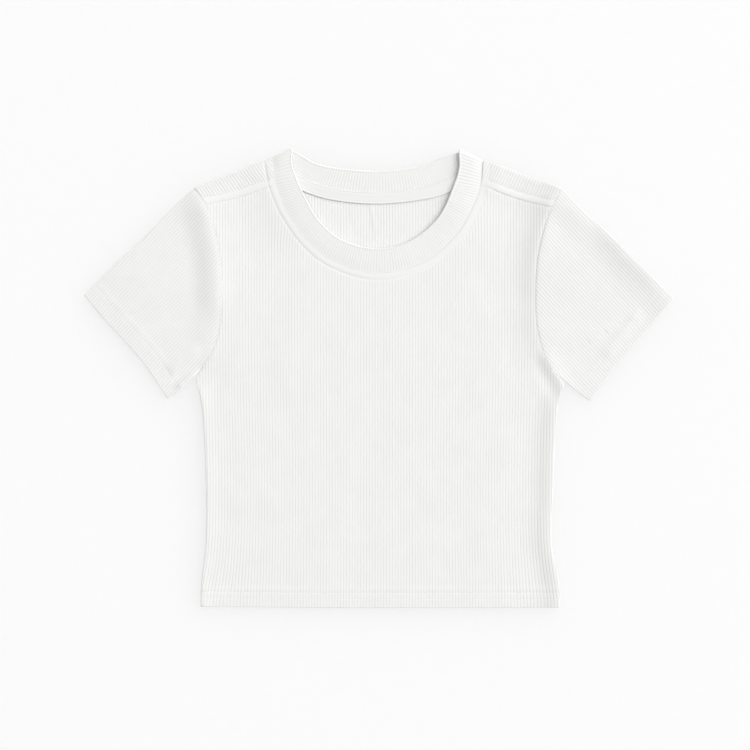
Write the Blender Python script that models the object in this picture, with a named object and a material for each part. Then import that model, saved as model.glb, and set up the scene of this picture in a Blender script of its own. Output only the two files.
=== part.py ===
"""A cropped short-sleeved top in fine rib knit, laid flat with its front up.

Sizes are in millimetres and become metres when a mesh is made. +Z is up off the surface, +Y runs
towards the neck and +X to the right of the front, seen from above. The origin is the middle of the
garment's outline, at the surface.

The pieces are those that are cut and sewn: back, front, two sleeves, the ring of the neckband and
the tape over the back neck seam. The back wraps over the shoulders to seams that lie forward.
"""

import math
from typing import Callable, NamedTuple, Sequence

import bmesh
import bpy
from mathutils import Vector
from mathutils.geometry import delaunay_2d_cdt, interpolate_bezier, intersect_line_line_2d

METRES = 0.001

# The cloth
PLY = 1.2  # one layer of rib knit, between its ribs
SEAM_GAP = 0.3  # between pieces that meet, and between layers that lie on each other
RIB_PITCH = 2.8
RIB_HEIGHT = 0.35
INSIDE_RIB_HEIGHT = 0.25

# Hems and seams
HEM_DEPTH = 18.0
HEM_RAMP = 7.0  # over which the cloth climbs onto the hem's fold
HEM_THICKNESS = 2.0
NECK_STRIP = 6.2  # the smooth strip between the neck seam and its topstitching
SHOULDER_STRIP = 6.4
RIB_END = 0.8  # over which ribs rise out of a smooth strip or an edge
STEP = 0.1  # the run of a nearly upright step
FOLD_WALL = 1.4  # cloth between a fold's edge and the hollow inside it

# Levels
FRONT_LEVEL = PLY + SEAM_GAP
CAVITY_CLEARANCE = 0.05  # of a cavity's floor over the ply under it
RIM = 0.4  # the upright part of a rounded edge

# The hollows inside a shoulder and a sleeve
SHOULDER_HOLLOW_DEPTH = 45.0  # from the fold to past the forward seam
SHOULDER_HOLLOW_OVERRUN = 6.0
SLEEVE_HOLLOW_OVERRUN = 4.0

# Neckband: two plies folded, in a ring
BAND_WIDTH = 24.0
FRONT_RIBS = 114
BACK_RIBS = 73
FOLD_STEPS = 4
TURN_CLEARANCE = 0.5  # of the band's turn from the shoulder's end
BAND_LIFT_TOP = 178.0  # above this level the front of the band lies on its own back
BAND_LIFT_FOOT = 148.0
BAND_ON_RIBS = 1.85
BAND_ON_BACK = 3.45

# Tape
TAPE_WIDTH = 11.5
TAPE_THICKNESS = 0.9
TAPE_ENDS = (-90.0, 87.0)

# Lines that guide the mesh
CURVE_STEP = 9.0
BAND_CURVE_STEP = 3.0
CORNER_CLEARANCE = 1.5  # of a curve's points from a corner that another line gives
OVERRUN = 12.0  # of a line past an edge that it meets at a slant
SHORT_OVERRUN = 1.0  # past an edge that it meets square on
STOP_SHORT = 0.5  # of a line that ends before a corner
SHARPEST = 0.4  # limits how far a sharp corner is drawn in
PARALLEL = 1e-9
MERGE = 0.002


class Place(NamedTuple):
    """A point seen from above: x to the right of the middle, y towards the neck."""

    x: float
    y: float


class Rise(NamedTuple):
    """How much a wall stands up at a distance in from its edge."""

    inset: float
    height: float


class Across(NamedTuple):
    """The neckband's section: share of its width from the seam, and its thickness there."""

    share: float
    thickness: float
    ribbed: float


class Match(NamedTuple):
    """Which share of the neck seam's length faces which share of the neckband's free edge."""

    seam: float
    edge: float


class Side(NamedTuple):
    """The lines that the pieces of one side of the body share."""

    fold: Sequence[Place]  # shoulder, from the neckband's free edge to the sleeve head
    shoulder_seam: Sequence[Place]  # from the neck to the armhole
    armhole: Sequence[Place]  # from the sleeve head to the underarm
    body_edge: Sequence[Place]  # from the underarm to the hem
    sleeve_top: Sequence[Place]  # from the sleeve head to the cuff
    cuff: Sequence[Place]  # from the top fold to the underarm seam
    sleeve_under: Sequence[Place]  # from the cuff to the underarm
    shoulder_grain: Vector  # the way the ribs run on the shoulder that folds forward
    sleeve_grain: Vector


LEFT = Side(
    fold=(Place(-106, 214), Place(-147, 197), Place(-179.5, 184.5)),
    shoulder_seam=(Place(-101, 187.5), Place(-137, 175.5), Place(-167.5, 168.5)),
    armhole=(
        Place(-179.5, 184.5),
        Place(-169, 168.5),
        Place(-162, 149),
        Place(-156, 127),
        Place(-153, 100),
        Place(-153, 76),
        Place(-155.5, 49.5),
        Place(-160.5, 30),
        Place(-172, 10),
    ),
    body_edge=(
        Place(-172, 10),
        Place(-177.5, 0),
        Place(-177.5, -7),
        Place(-174.5, -16),
        Place(-171, -44),
        Place(-168.5, -100),
        Place(-168.5, -160),
        Place(-173, -201),
        Place(-173.5, -222.3),
    ),
    sleeve_top=(
        Place(-179.5, 184.5),
        Place(-198.5, 167),
        Place(-231.5, 133.5),
        Place(-258.5, 108.5),
        Place(-286.5, 80),
    ),
    cuff=(
        Place(-286.5, 80),
        Place(-267.5, 57),
        Place(-246.5, 34.5),
        Place(-228.5, 13.5),
        Place(-206, -20),
    ),
    sleeve_under=(Place(-206, -20), Place(-187.5, -8.5), Place(-179.5, 1.5), Place(-172, 10)),
    shoulder_grain=Vector((-0.57, 0.82)),
    sleeve_grain=Vector((0.68, 0.735)),
)

RIGHT = Side(
    fold=(Place(102.5, 211.5), Place(132, 201), Place(176.5, 184.5)),
    shoulder_seam=(Place(99, 187.5), Place(134, 174.5), Place(166.5, 165.5)),
    armhole=(
        Place(176.5, 184.5),
        Place(167.5, 167),
        Place(161, 149),
        Place(154.5, 122),
        Place(152, 96),
        Place(152, 61),
        Place(156, 36),
        Place(163.5, 15),
        Place(170.5, 4.5),
    ),
    body_edge=(
        Place(170.5, 4.5),
        Place(176.5, -1.5),
        Place(179.5, -7),
        Place(176, -16),
        Place(172, -44),
        Place(169, -109),
        Place(167.3, -160),
        Place(171.5, -184),
        Place(175.5, -204),
        Place(175.5, -223.3),
    ),
    sleeve_top=(
        Place(176.5, 184.5),
        Place(196, 165),
        Place(227, 136.5),
        Place(259, 104),
        Place(286.5, 78),
    ),
    cuff=(
        Place(286.5, 78),
        Place(262, 49),
        Place(236.5, 19.5),
        Place(221.5, 0),
        Place(205, -22.5),
    ),
    sleeve_under=(Place(205, -22.5), Place(189, -10.5), Place(180.5, -2.5), Place(170.5, 4.5)),
    shoulder_grain=Vector((0.42, 0.91)),
    sleeve_grain=Vector((-0.68, 0.73)),
)

HEM = (Place(-173.5, -222.3), Place(-47.5, -223.5), Place(175.5, -223.3))

NECK_SEAM = (
    Place(-106, 214),
    Place(-101, 187.5),
    Place(-90, 161),
    Place(-68.5, 131),
    Place(-43.5, 112.5),
    Place(-3, 101.5),
    Place(43, 112),
    Place(77, 141),
    Place(93.5, 171),
    Place(99, 187.5),
    Place(102.5, 211.5),
)
BACK_NECK_SEAM = (
    Place(-106, 214),
    Place(-93, 200.5),
    Place(-75, 188.5),
    Place(-46, 179),
    Place(-1, 175),
    Place(47, 180),
    Place(67, 186.5),
    Place(88, 199),
    Place(102.5, 211.5),
)
# The neckband's free edge, at the front and at the back, from one end of its fold to the other
FRONT_EDGE = (
    Place(-85, 223.5),
    Place(-85, 210.5),
    Place(-81, 197),
    Place(-73.5, 179.5),
    Place(-58.5, 153.5),
    Place(-36, 134.5),
    Place(-2.5, 126),
    Place(30, 133.5),
    Place(57.5, 156.5),
    Place(72.5, 187.5),
    Place(77.5, 205),
    Place(78.5, 222.5),
)
BACK_EDGE = (
    Place(-85, 223.5),
    Place(-77, 217.5),
    Place(-61.5, 209),
    Place(-42, 204.5),
    Place(-3, 201.3),
    Place(22, 203),
    Place(44.5, 207.5),
    Place(62, 214.5),
    Place(78.5, 222.5),
)
# The back's inside shows through the neck, and its ribs are raised there
NECK_WINDOW = (
    Place(-64, 177.5),
    Place(-46, 172),
    Place(-3, 168),
    Place(45, 173),
    Place(62, 178),
    Place(62, 158),
    Place(34, 128),
    Place(-3, 118),
    Place(-38, 128),
    Place(-66, 156),
)

# Seam allowances inside a side seam raise the cloth beside it
SIDE_RISE = (Rise(0, 0), Rise(3.5, 0.9), Rise(14, 0))

BAND_SECTION = (
    Across(0.014, 1.3, 0.0),
    Across(0.38, 2.0, 1.0),
    Across(0.93, 2.2, 0.8),
    Across(1.0, 0.0, 0.0),
)
FRONT_MATCH = (
    Match(0.0, 0.0),
    Match(0.08, 0.115),
    Match(0.22, 0.24),
    Match(0.38, 0.392),
    Match(0.5, 0.507),
    Match(0.78, 0.765),
    Match(0.92, 0.885),
    Match(1.0, 1.0),
)
BACK_MATCH = (
    Match(0.0, 0.0),
    Match(0.29, 0.272),
    Match(0.5, 0.51),
    Match(0.735, 0.77),
    Match(1.0, 1.0),
)

GRAIN = Vector((0, 1))  # the way the ribs of the body run

Height = Callable[[float, float], float]
Line = list[Vector]


# Lines seen from above


def smooth(places: Sequence[Place], step: float = CURVE_STEP) -> Line:
    """A smooth curve through the places, with a point about every step."""
    points = [Vector((place[0], place[1], 0)) for place in places]
    last = len(points) - 1
    slopes = []
    for i in range(last + 1):
        before, after = points[max(i - 1, 0)], points[min(i + 1, last)]
        run = (points[i] - before).length + (after - points[i]).length
        slopes.append((after - before) / run)
    curve = []
    for i in range(last):
        start, end = points[i], points[i + 1]
        third = (end - start).length / 3
        count = max(2, round(3 * third / step) + 1)
        handles = start + slopes[i] * third, end - slopes[i + 1] * third
        stretch = interpolate_bezier(start, *handles, end, count)
        curve += stretch[:-1]
    return [point.to_2d() for point in [*curve, points[last]]]


def straight_parts(line: Line) -> list[tuple[Vector, Vector]]:
    """The line's successive pairs of points."""
    return list(zip(line, line[1:]))


def length_of(line: Line) -> float:
    """The line's length."""
    return sum((end - start).length for start, end in straight_parts(line))


def along(line: Line, share: float) -> Vector:
    """The point at a share of the line's length."""
    left = share * length_of(line)
    for start, end in straight_parts(line):
        part = (end - start).length
        if left <= part:
            return start.lerp(end, left / part)
        left -= part
    return line[-1].copy()


def beside(line: Line, distance: float) -> Line:
    """The line moved to its left, or to its right where distance is negative."""
    moved = []
    for i, point in enumerate(line):
        ahead = line[min(i + 1, len(line) - 1)] - line[max(i - 1, 0)]
        moved.append(point + Vector((-ahead.y, ahead.x)).normalized() * distance)
    return moved


def lengthened(line: Line, extra: float) -> Line:
    """The line carried on straight past both its ends."""
    start = line[0] + (line[0] - line[1]).normalized() * extra
    end = line[-1] + (line[-1] - line[-2]).normalized() * extra
    return [start, *line[1:-1], end]


def distance_to(line: Line, x: float, y: float) -> float:
    """How far a point is from the line."""
    point = Vector((x, y))
    nearest = math.inf
    for start, end in straight_parts(line):
        run = end - start
        share = min(max((point - start).dot(run) / run.length_squared, 0), 1)
        nearest = min(nearest, (point - start - run * share).length_squared)
    return math.sqrt(nearest)


def inside(loop: Line, x: float, y: float) -> bool:
    """Whether a point is inside a closed loop."""
    found = False
    for start, end in zip(loop, loop[1:] + loop[:1]):
        if (start.y > y) != (end.y > y):
            crossing = start.x + (y - start.y) / (end.y - start.y) * (end.x - start.x)
            if x < crossing:
                found = not found
    return found


def turning(loop: Line) -> float:
    """Twice the loop's area, above 0 where it runs anticlockwise."""
    return sum(a.x * b.y - b.x * a.y for a, b in zip(loop, loop[1:] + loop[:1]))


def joined(*lines: Line) -> Line:
    """One anticlockwise loop through the lines in turn, with no point twice."""
    loop: Line = []
    for point in (point for line in lines for point in line):
        if not loop or (point - loop[-1]).length > MERGE:
            loop.append(point)
    if (loop[0] - loop[-1]).length <= MERGE:
        loop.pop()
    return loop if turning(loop) > 0 else loop[::-1]


def trimmed(loop: Line, distance: float) -> Line:
    """The anticlockwise loop drawn in by a distance on all its sides."""
    moved = []
    for i, point in enumerate(loop):
        before = (point - loop[i - 1]).normalized()
        after = (loop[(i + 1) % len(loop)] - point).normalized()
        normal = Vector((-before.y - after.y, before.x + after.x)).normalized()
        square = max(normal.dot(Vector((-before.y, before.x))), SHARPEST)
        moved.append(point + normal * (distance / square))
    return moved


def clipped(start: Vector, end: Vector, loop: Line) -> list[Line]:
    """The stretches of a straight line that lie inside a loop."""
    run = end - start
    shares = [0.0, 1.0]
    for a, b in zip(loop, loop[1:] + loop[:1]):
        side = b - a
        cross = run.x * side.y - run.y * side.x
        if abs(cross) < PARALLEL:
            continue
        offset = a - start
        share = (offset.x * side.y - offset.y * side.x) / cross
        if 0 <= (offset.x * run.y - offset.y * run.x) / cross <= 1 and 0 < share < 1:
            shares.append(share)
    shares.sort()
    found = []
    for low, high in zip(shares, shares[1:]):
        middle = start + run * ((low + high) / 2)
        if (high - low) * run.length > MERGE and inside(loop, middle.x, middle.y):
            found.append([start + run * low, start + run * high])
    return found


def crossing(start: Vector, end: Vector, line: Line) -> Vector | None:
    """Where a straight stretch meets a line, if it does."""
    for a, b in straight_parts(line):
        found = intersect_line_line_2d(start, end, a, b)
        if found:
            return found
    return None


# Ribs


def rib(phase: float) -> float:
    """The height of a rib as a share of its own, at a count of ribs across the cloth."""
    return abs(2 * (phase % 1) - 1)


def across_ribs(direction: Vector) -> Vector:
    """The direction at right angles to ribs that run in a direction."""
    return Vector((direction.y, -direction.x)).normalized()


def rib_at(x: float, y: float, direction: Vector) -> float:
    """The share of a rib's height at a point, where the ribs run in a direction."""
    return rib(Vector((x, y)).dot(across_ribs(direction)) / RIB_PITCH)


def ribs_along(direction: Vector, loop: Line) -> list[Line]:
    """The crests and furrows that run in one direction inside a loop."""
    across = across_ribs(direction)
    direction = direction.normalized()
    places = [point.dot(across) for point in loop]
    runs = [point.dot(direction) for point in loop]
    first = math.ceil(min(places) / RIB_PITCH * 2)
    last = math.floor(max(places) / RIB_PITCH * 2)
    lines = []
    for i in range(first, last + 1):
        foot = across * (i * RIB_PITCH / 2)
        start = foot + direction * (min(runs) - RIB_PITCH)
        end = foot + direction * (max(runs) + RIB_PITCH)
        lines += clipped(start, end, loop)
    return lines


def ramp(value: float, low: float, high: float) -> float:
    """0 up to low, 1 from high on, and even between."""
    return min(max((value - low) / (high - low), 0), 1)


def rounding(inset: float, thickness: float) -> float:
    """How far a rounded edge draws each face in, at a distance in from the edge."""
    half = thickness / 2
    if inset >= half:
        return 0
    return (half - RIM / 2) * (1 - math.sqrt(1 - (1 - inset / half) ** 2))


def rise(rises: Sequence[Rise], inset: float) -> float:
    """The height that a table of rises gives at a distance in from the edge."""
    for near, far in zip(rises, rises[1:]):
        if inset <= far.inset:
            share = (inset - near.inset) / (far.inset - near.inset)
            return near.height + (far.height - near.height) * share
    return rises[-1].height


# Walls of cloth


def triangulated(loop: Line, lines: Sequence[Line]):
    """The points and triangles that fill a loop, with edges along the lines."""
    points = list(loop)
    edges = []
    for line in lines:
        edges += [(len(points) + i, len(points) + i + 1) for i in range(len(line) - 1)]
        points += line
    whole = [list(range(len(loop)))]
    found, _, faces, sources, _, within = delaunay_2d_cdt(points, edges, whole, 0, MERGE)
    kept = [face for face, parts in zip(faces, within) if parts]
    return found, kept, sources


def rim_of(faces: Sequence[Sequence[int]]) -> list[int]:
    """The points round the outside of a set of triangles, in order."""
    sides = {(face[i], face[(i + 1) % 3]) for face in faces for i in range(3)}
    onward = {a: b for a, b in sides if (b, a) not in sides}
    start = next(iter(onward))
    rim = [start]
    while onward[rim[-1]] != start:
        rim.append(onward[rim[-1]])
        if len(rim) > len(onward):
            raise ValueError("the outline crosses itself")
    return rim


def wall(
    name: str,
    loop: Line,
    upper: Height,
    lower: Height,
    ribs: Sequence[Line] = (),
    lines: Sequence[Line] = (),
) -> bpy.types.Object:
    """A closed wall between two faces of the same outline. Only the upper one has the ribs."""
    points, faces, _ = triangulated(loop, [*lines, *ribs])
    rim = rim_of(faces)
    plain, plain_faces, sources = triangulated([points[i] for i in rim], lines)
    mesh = bmesh.new()
    top = {
        i: mesh.verts.new((points[i].x, points[i].y, upper(*points[i])))
        for i in sorted({i for face in faces for i in face})
    }
    bottom = {
        i: mesh.verts.new((plain[i].x, plain[i].y, lower(*plain[i])))
        for i in sorted({i for face in plain_faces for i in face})
    }
    for face in faces:
        mesh.faces.new([top[i] for i in face])
    for face in plain_faces:
        mesh.faces.new([bottom[i] for i in reversed(face)])
    under = {source: i for i, origins in enumerate(sources) for source in origins}
    for i in range(len(rim)):
        j = (i + 1) % len(rim)
        mesh.faces.new((top[rim[j]], top[rim[i]], bottom[under[i]], bottom[under[j]]))
    bmesh.ops.scale(mesh, vec=Vector((METRES,) * 3), verts=mesh.verts)
    data = bpy.data.meshes.new(name)
    mesh.to_mesh(data)
    mesh.free()
    return bpy.data.objects.new(name, data)


def cut(piece: bpy.types.Object, cutter: bpy.types.Object) -> None:
    """Takes the cutter's shape out of the piece."""
    cutter.hide_render = True
    cutter.display_type = "WIRE"
    CUTTERS.objects.link(cutter)
    boolean = piece.modifiers.new("inside", "BOOLEAN")
    boolean.operation = "DIFFERENCE"
    boolean.object = cutter


def finish(piece: bpy.types.Object, material: bpy.types.Material) -> bpy.types.Object:
    """Gives the piece its cloth and places it in the garment's collection."""
    piece.data.materials.append(material)
    GARMENT.objects.link(piece)
    return piece


def cloth(name: str, colour: tuple[float, float, float], roughness: float) -> bpy.types.Material:
    """A plain cloth."""
    material = bpy.data.materials.new(name)
    material.use_nodes = True
    shader = material.node_tree.nodes["Principled BSDF"]
    shader.inputs["Base Color"].default_value = (*colour, 1)
    shader.inputs["Roughness"].default_value = roughness
    shader.inputs["Metallic"].default_value = 0
    return material


# The pieces


def body_hem(y: float) -> float:
    """How far the body's cloth is onto its hem, from 0 to 1."""
    top = HEM[1].y + HEM_DEPTH
    return 1 - ramp(y, top, top + HEM_RAMP)


def hem_lines() -> list[Line]:
    """The lines across the body where its hem's fold starts and ends."""
    top = HEM[1].y + HEM_DEPTH
    reach = RIGHT.body_edge[2].x + OVERRUN
    return [[Vector((-reach, y)), Vector((reach, y))] for y in (top, top + HEM_RAMP)]


def side_lines(sides: Sequence[Line], insets: Sequence[float]) -> list[Line]:
    """Lines at some distances in from the body's two edges, which run from underarm to hem."""
    left, right = sides
    return [
        beside(lengthened(edge, SHORT_OVERRUN), sign * inset)
        for edge, sign in ((left, 1), (right, -1))
        for inset in insets
    ]


def panel_thickness(y: float) -> float:
    """The thickness of the body's cloth, which its hem doubles."""
    return PLY + (HEM_THICKNESS - PLY) * body_hem(y)


def make_front(material: bpy.types.Material) -> bpy.types.Object:
    """The front, from the forward shoulder seams down."""
    edges = smooth(LEFT.body_edge), smooth(RIGHT.body_edge)
    neck = smooth(NECK_SEAM)
    seams = [smooth(side.shoulder_seam) for side in (LEFT, RIGHT)]
    neck_part = [p for p in neck if p.y < LEFT.shoulder_seam[0].y - CORNER_CLEARANCE]
    armholes = []
    for side, seam in zip((LEFT, RIGHT), seams):
        line = smooth(side.armhole)
        below = [p for p in line if p.y < seam[-1].y - CORNER_CLEARANCE]
        armholes.append([seam[-1], *below])
    hem = smooth(HEM)

    def outline(neck_line: Line, shoulder_seams: Sequence[Line]) -> Line:
        left, right = shoulder_seams
        right_part = edges[1][::-1], armholes[1][::-1], right[::-1]
        return joined(hem, *right_part, neck_line[::-1], left, armholes[0], edges[0])

    loop = trimmed(outline(neck_part, seams), SEAM_GAP / 2)
    clear = NECK_STRIP + RIB_END
    beyond = [[p for p in seam if distance_to(neck, *p) > clear] for seam in seams]
    ribbed_area = trimmed(outline(beside(neck_part, -clear), beyond), RIB_END)

    def base(x: float, y: float) -> float:
        inset = min(distance_to(edge, x, y) for edge in edges)
        onto_hem = (HEM_THICKNESS - PLY) * body_hem(y)
        return FRONT_LEVEL + onto_hem + rise(SIDE_RISE, inset)

    def upper(x: float, y: float) -> float:
        inset = min(distance_to(edge, x, y) for edge in edges)
        thickness = panel_thickness(y)
        ribbed = ramp(distance_to(neck, x, y), NECK_STRIP, clear)
        ribbed *= ramp(distance_to(rim, x, y), 0, RIB_END / 2)
        height = RIB_HEIGHT * ribbed * rib_at(x, y, GRAIN)
        return base(x, y) + thickness + height - rounding(inset, 2 * thickness)

    rim = [*loop, loop[0]]
    insets = [PLY / 2, *(row.inset for row in SIDE_RISE[1:])]
    lines = [*hem_lines(), *side_lines(edges, insets), beside(neck, -NECK_STRIP)]
    ribs = ribs_along(GRAIN, ribbed_area)
    return finish(wall("front", loop, upper, base, ribs, lines), material)


def shoulder_strip(side: Side) -> Line:
    """The part of the back that lies on the front side, between the fold and the seam."""
    fold = smooth(side.fold)
    seam = smooth(side.shoulder_seam)
    neck = [p for p in smooth(NECK_SEAM) if p.y > seam[0].y + CORNER_CLEARANCE]
    neck = [p for p in neck if (p.x < 0) == (side is LEFT)]
    neck.sort(key=lambda p: p.y)
    armhole = [p for p in smooth(side.armhole) if p.y > seam[-1].y + CORNER_CLEARANCE]
    return joined(fold, armhole, seam[::-1], neck)


def make_back(material: bpy.types.Material) -> bpy.types.Object:
    """The back, with its inside up, and its two shoulders folded forward over it."""
    edges = smooth(LEFT.body_edge), smooth(RIGHT.body_edge)
    neck = smooth(BACK_NECK_SEAM)
    folds = [smooth(side.fold) for side in (LEFT, RIGHT)]
    seams = [smooth(side.shoulder_seam) for side in (LEFT, RIGHT)]
    loop = joined(
        smooth(HEM),
        edges[1][::-1],
        smooth(RIGHT.armhole)[::-1],
        folds[1][::-1],
        neck[::-1],
        folds[0],
        smooth(LEFT.armhole),
        edges[0],
    )
    loop = trimmed(loop, SEAM_GAP / 2)
    strips = [shoulder_strip(side) for side in (LEFT, RIGHT)]
    strips = [trimmed(strip, SEAM_GAP / 2) for strip in strips]
    bearings = [side.shoulder_grain for side in (LEFT, RIGHT)]
    window = joined(smooth([*NECK_WINDOW, NECK_WINDOW[0]]))
    folded = FRONT_LEVEL + CAVITY_CLEARANCE + PLY
    raised_areas = [trimmed(strip, -STEP / 2) for strip in strips]

    def lower(x: float, y: float) -> float:
        at_fold = min(distance_to(fold, x, y) for fold in folds)
        at_side = min(distance_to(edge, x, y) for edge in edges)
        return max(rounding(at_fold, folded), rounding(at_side, 2 * panel_thickness(y)))

    def upper(x: float, y: float) -> float:
        for area, fold, seam, bearing in zip(raised_areas, folds, seams, bearings):
            if inside(area, x, y):
                ribbed = ramp(distance_to(seam, x, y), SHOULDER_STRIP, SHOULDER_STRIP + RIB_END)
                ribbed *= ramp(distance_to([*area, area[0]], x, y), 0, RIB_END / 2)
                height = RIB_HEIGHT * ribbed * rib_at(x, y, bearing)
                return folded + height - rounding(distance_to(fold, x, y), folded)
        within = distance_to([*window, window[0]], x, y) if inside(window, x, y) else 0
        height = INSIDE_RIB_HEIGHT * ramp(within, 0, RIB_END) * rib_at(x, y, GRAIN)
        return panel_thickness(y) + height

    ribs = ribs_along(GRAIN, trimmed(window, RIB_END))
    lines = [*hem_lines(), *side_lines(edges, [PLY / 2, PLY]), [*window, window[0]]]
    for strip, fold, seam, bearing, sign in zip(strips, folds, seams, bearings, (1, -1)):
        smooth_until = lengthened(beside(seam, -sign * (SHOULDER_STRIP + RIB_END)), OVERRUN)
        for start, end in ribs_along(bearing, trimmed(strip, RIB_END)):
            if start.y < end.y:
                start, end = end, start
            foot = crossing(start, end, smooth_until)
            ribs.append([start, foot or end])
        outer = trimmed(strip, -STEP)
        lines += [[*strip, strip[0]], [*outer, outer[0]], beside(seam, -sign * SHOULDER_STRIP)]
        for inset in (PLY / 2, folded / 2):
            lines.append(beside(lengthened(fold, -STOP_SHORT), sign * inset))
    piece = wall("back", loop, upper, lower, ribs, lines)
    floor, ceiling = PLY + CAVITY_CLEARANCE, FRONT_LEVEL + CAVITY_CLEARANCE
    for name, fold, sign in zip(("left", "right"), folds, (1, -1)):
        # Between the folded shoulder and the back, from just inside the fold to past the seam
        upper_edge = lengthened(beside(fold, sign * FOLD_WALL), SHOULDER_HOLLOW_OVERRUN)
        lower_edge = [point - GRAIN * SHOULDER_HOLLOW_DEPTH for point in upper_edge[::-1]]
        hollow = joined(upper_edge, lower_edge)
        cutter = wall("shoulder_hollow_" + name, hollow, lambda x, y: ceiling, lambda x, y: floor)
        cut(piece, cutter)
    return finish(piece, material)


def make_sleeve(name: str, side: Side, material: bpy.types.Material) -> bpy.types.Object:
    """A sleeve pressed flat: a tube folded along its top, sewn along its underside."""
    sign = 1 if side is LEFT else -1
    top, under = smooth(side.sleeve_top), smooth(side.sleeve_under)
    cuff, armhole = smooth(side.cuff), smooth(side.armhole)
    loop = trimmed(joined(top, cuff, under, armhole[::-1]), SEAM_GAP / 2)
    rim = [*loop, loop[0]]

    def onto_hem(x: float, y: float) -> float:
        return 1 - ramp(distance_to(cuff, x, y), HEM_DEPTH, HEM_DEPTH + HEM_RAMP)

    def layer(x: float, y: float) -> float:
        return PLY + (HEM_THICKNESS - PLY) * onto_hem(x, y)

    def edge_inset(x: float, y: float) -> float:
        return min(distance_to(top, x, y), distance_to(under, x, y))

    def full(x: float, y: float) -> float:
        return 2 * layer(x, y) + SEAM_GAP

    def upper(x: float, y: float) -> float:
        ribbed = ramp(distance_to(rim, x, y), 0, RIB_END / 2)
        height = RIB_HEIGHT * ribbed * rib_at(x, y, side.sleeve_grain)
        return full(x, y) + height - rounding(edge_inset(x, y), full(x, y))

    def lower(x: float, y: float) -> float:
        return rounding(edge_inset(x, y), full(x, y))

    ends = HEM_DEPTH, HEM_DEPTH + HEM_RAMP
    lines = [beside(lengthened(cuff, OVERRUN), sign * end) for end in ends]
    for line in (top, under):
        short = lengthened(line, -STOP_SHORT)
        lines += [beside(short, sign * inset) for inset in (PLY / 2, FOLD_WALL)]
    ribs = ribs_along(side.sleeve_grain, trimmed(loop, RIB_END))
    piece = wall(name, loop, upper, lower, ribs, lines)
    reach = SLEEVE_HOLLOW_OVERRUN
    hollow = joined(
        lengthened(beside(top, sign * FOLD_WALL), reach / 2),
        beside(cuff, -sign * reach)[1:-1],
        lengthened(beside(under, sign * FOLD_WALL), reach / 2),
        beside(armhole[::-1], -sign * reach)[1:-1],
    )

    def hollow_top(x: float, y: float) -> float:
        return layer(x, y) + SEAM_GAP

    cut(piece, wall(name + "_hollow", hollow, hollow_top, layer, (), lines[:2]))
    return finish(piece, material)


def matched(matches: Sequence[Match], share: float) -> float:
    """The share of the free edge that faces a share of the neck seam."""
    for near, far in zip(matches, matches[1:]):
        if share <= far.seam:
            part = (share - near.seam) / (far.seam - near.seam)
            return near.edge + (far.edge - near.edge) * part
    return 1.0


class BandLevels(NamedTuple):
    """The middle of the neckband's thickness at the front and at the back, at a share across."""

    front: float
    back: float


def band_levels(section: Across, lift: float) -> BandLevels:
    """Where the neckband's two layers lie. lift is 1 where the front lies on the back."""
    raised = BAND_ON_RIBS + (BAND_ON_BACK - BAND_ON_RIBS) * lift
    base = FRONT_LEVEL + (raised - FRONT_LEVEL) * min(section.share / BAND_SECTION[1].share, 1)
    depth = max(section.thickness, BAND_SECTION[0].thickness)
    if section is BAND_SECTION[-1]:
        depth = BAND_SECTION[-2].thickness
    return BandLevels(base + depth / 2, depth / 2)


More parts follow.
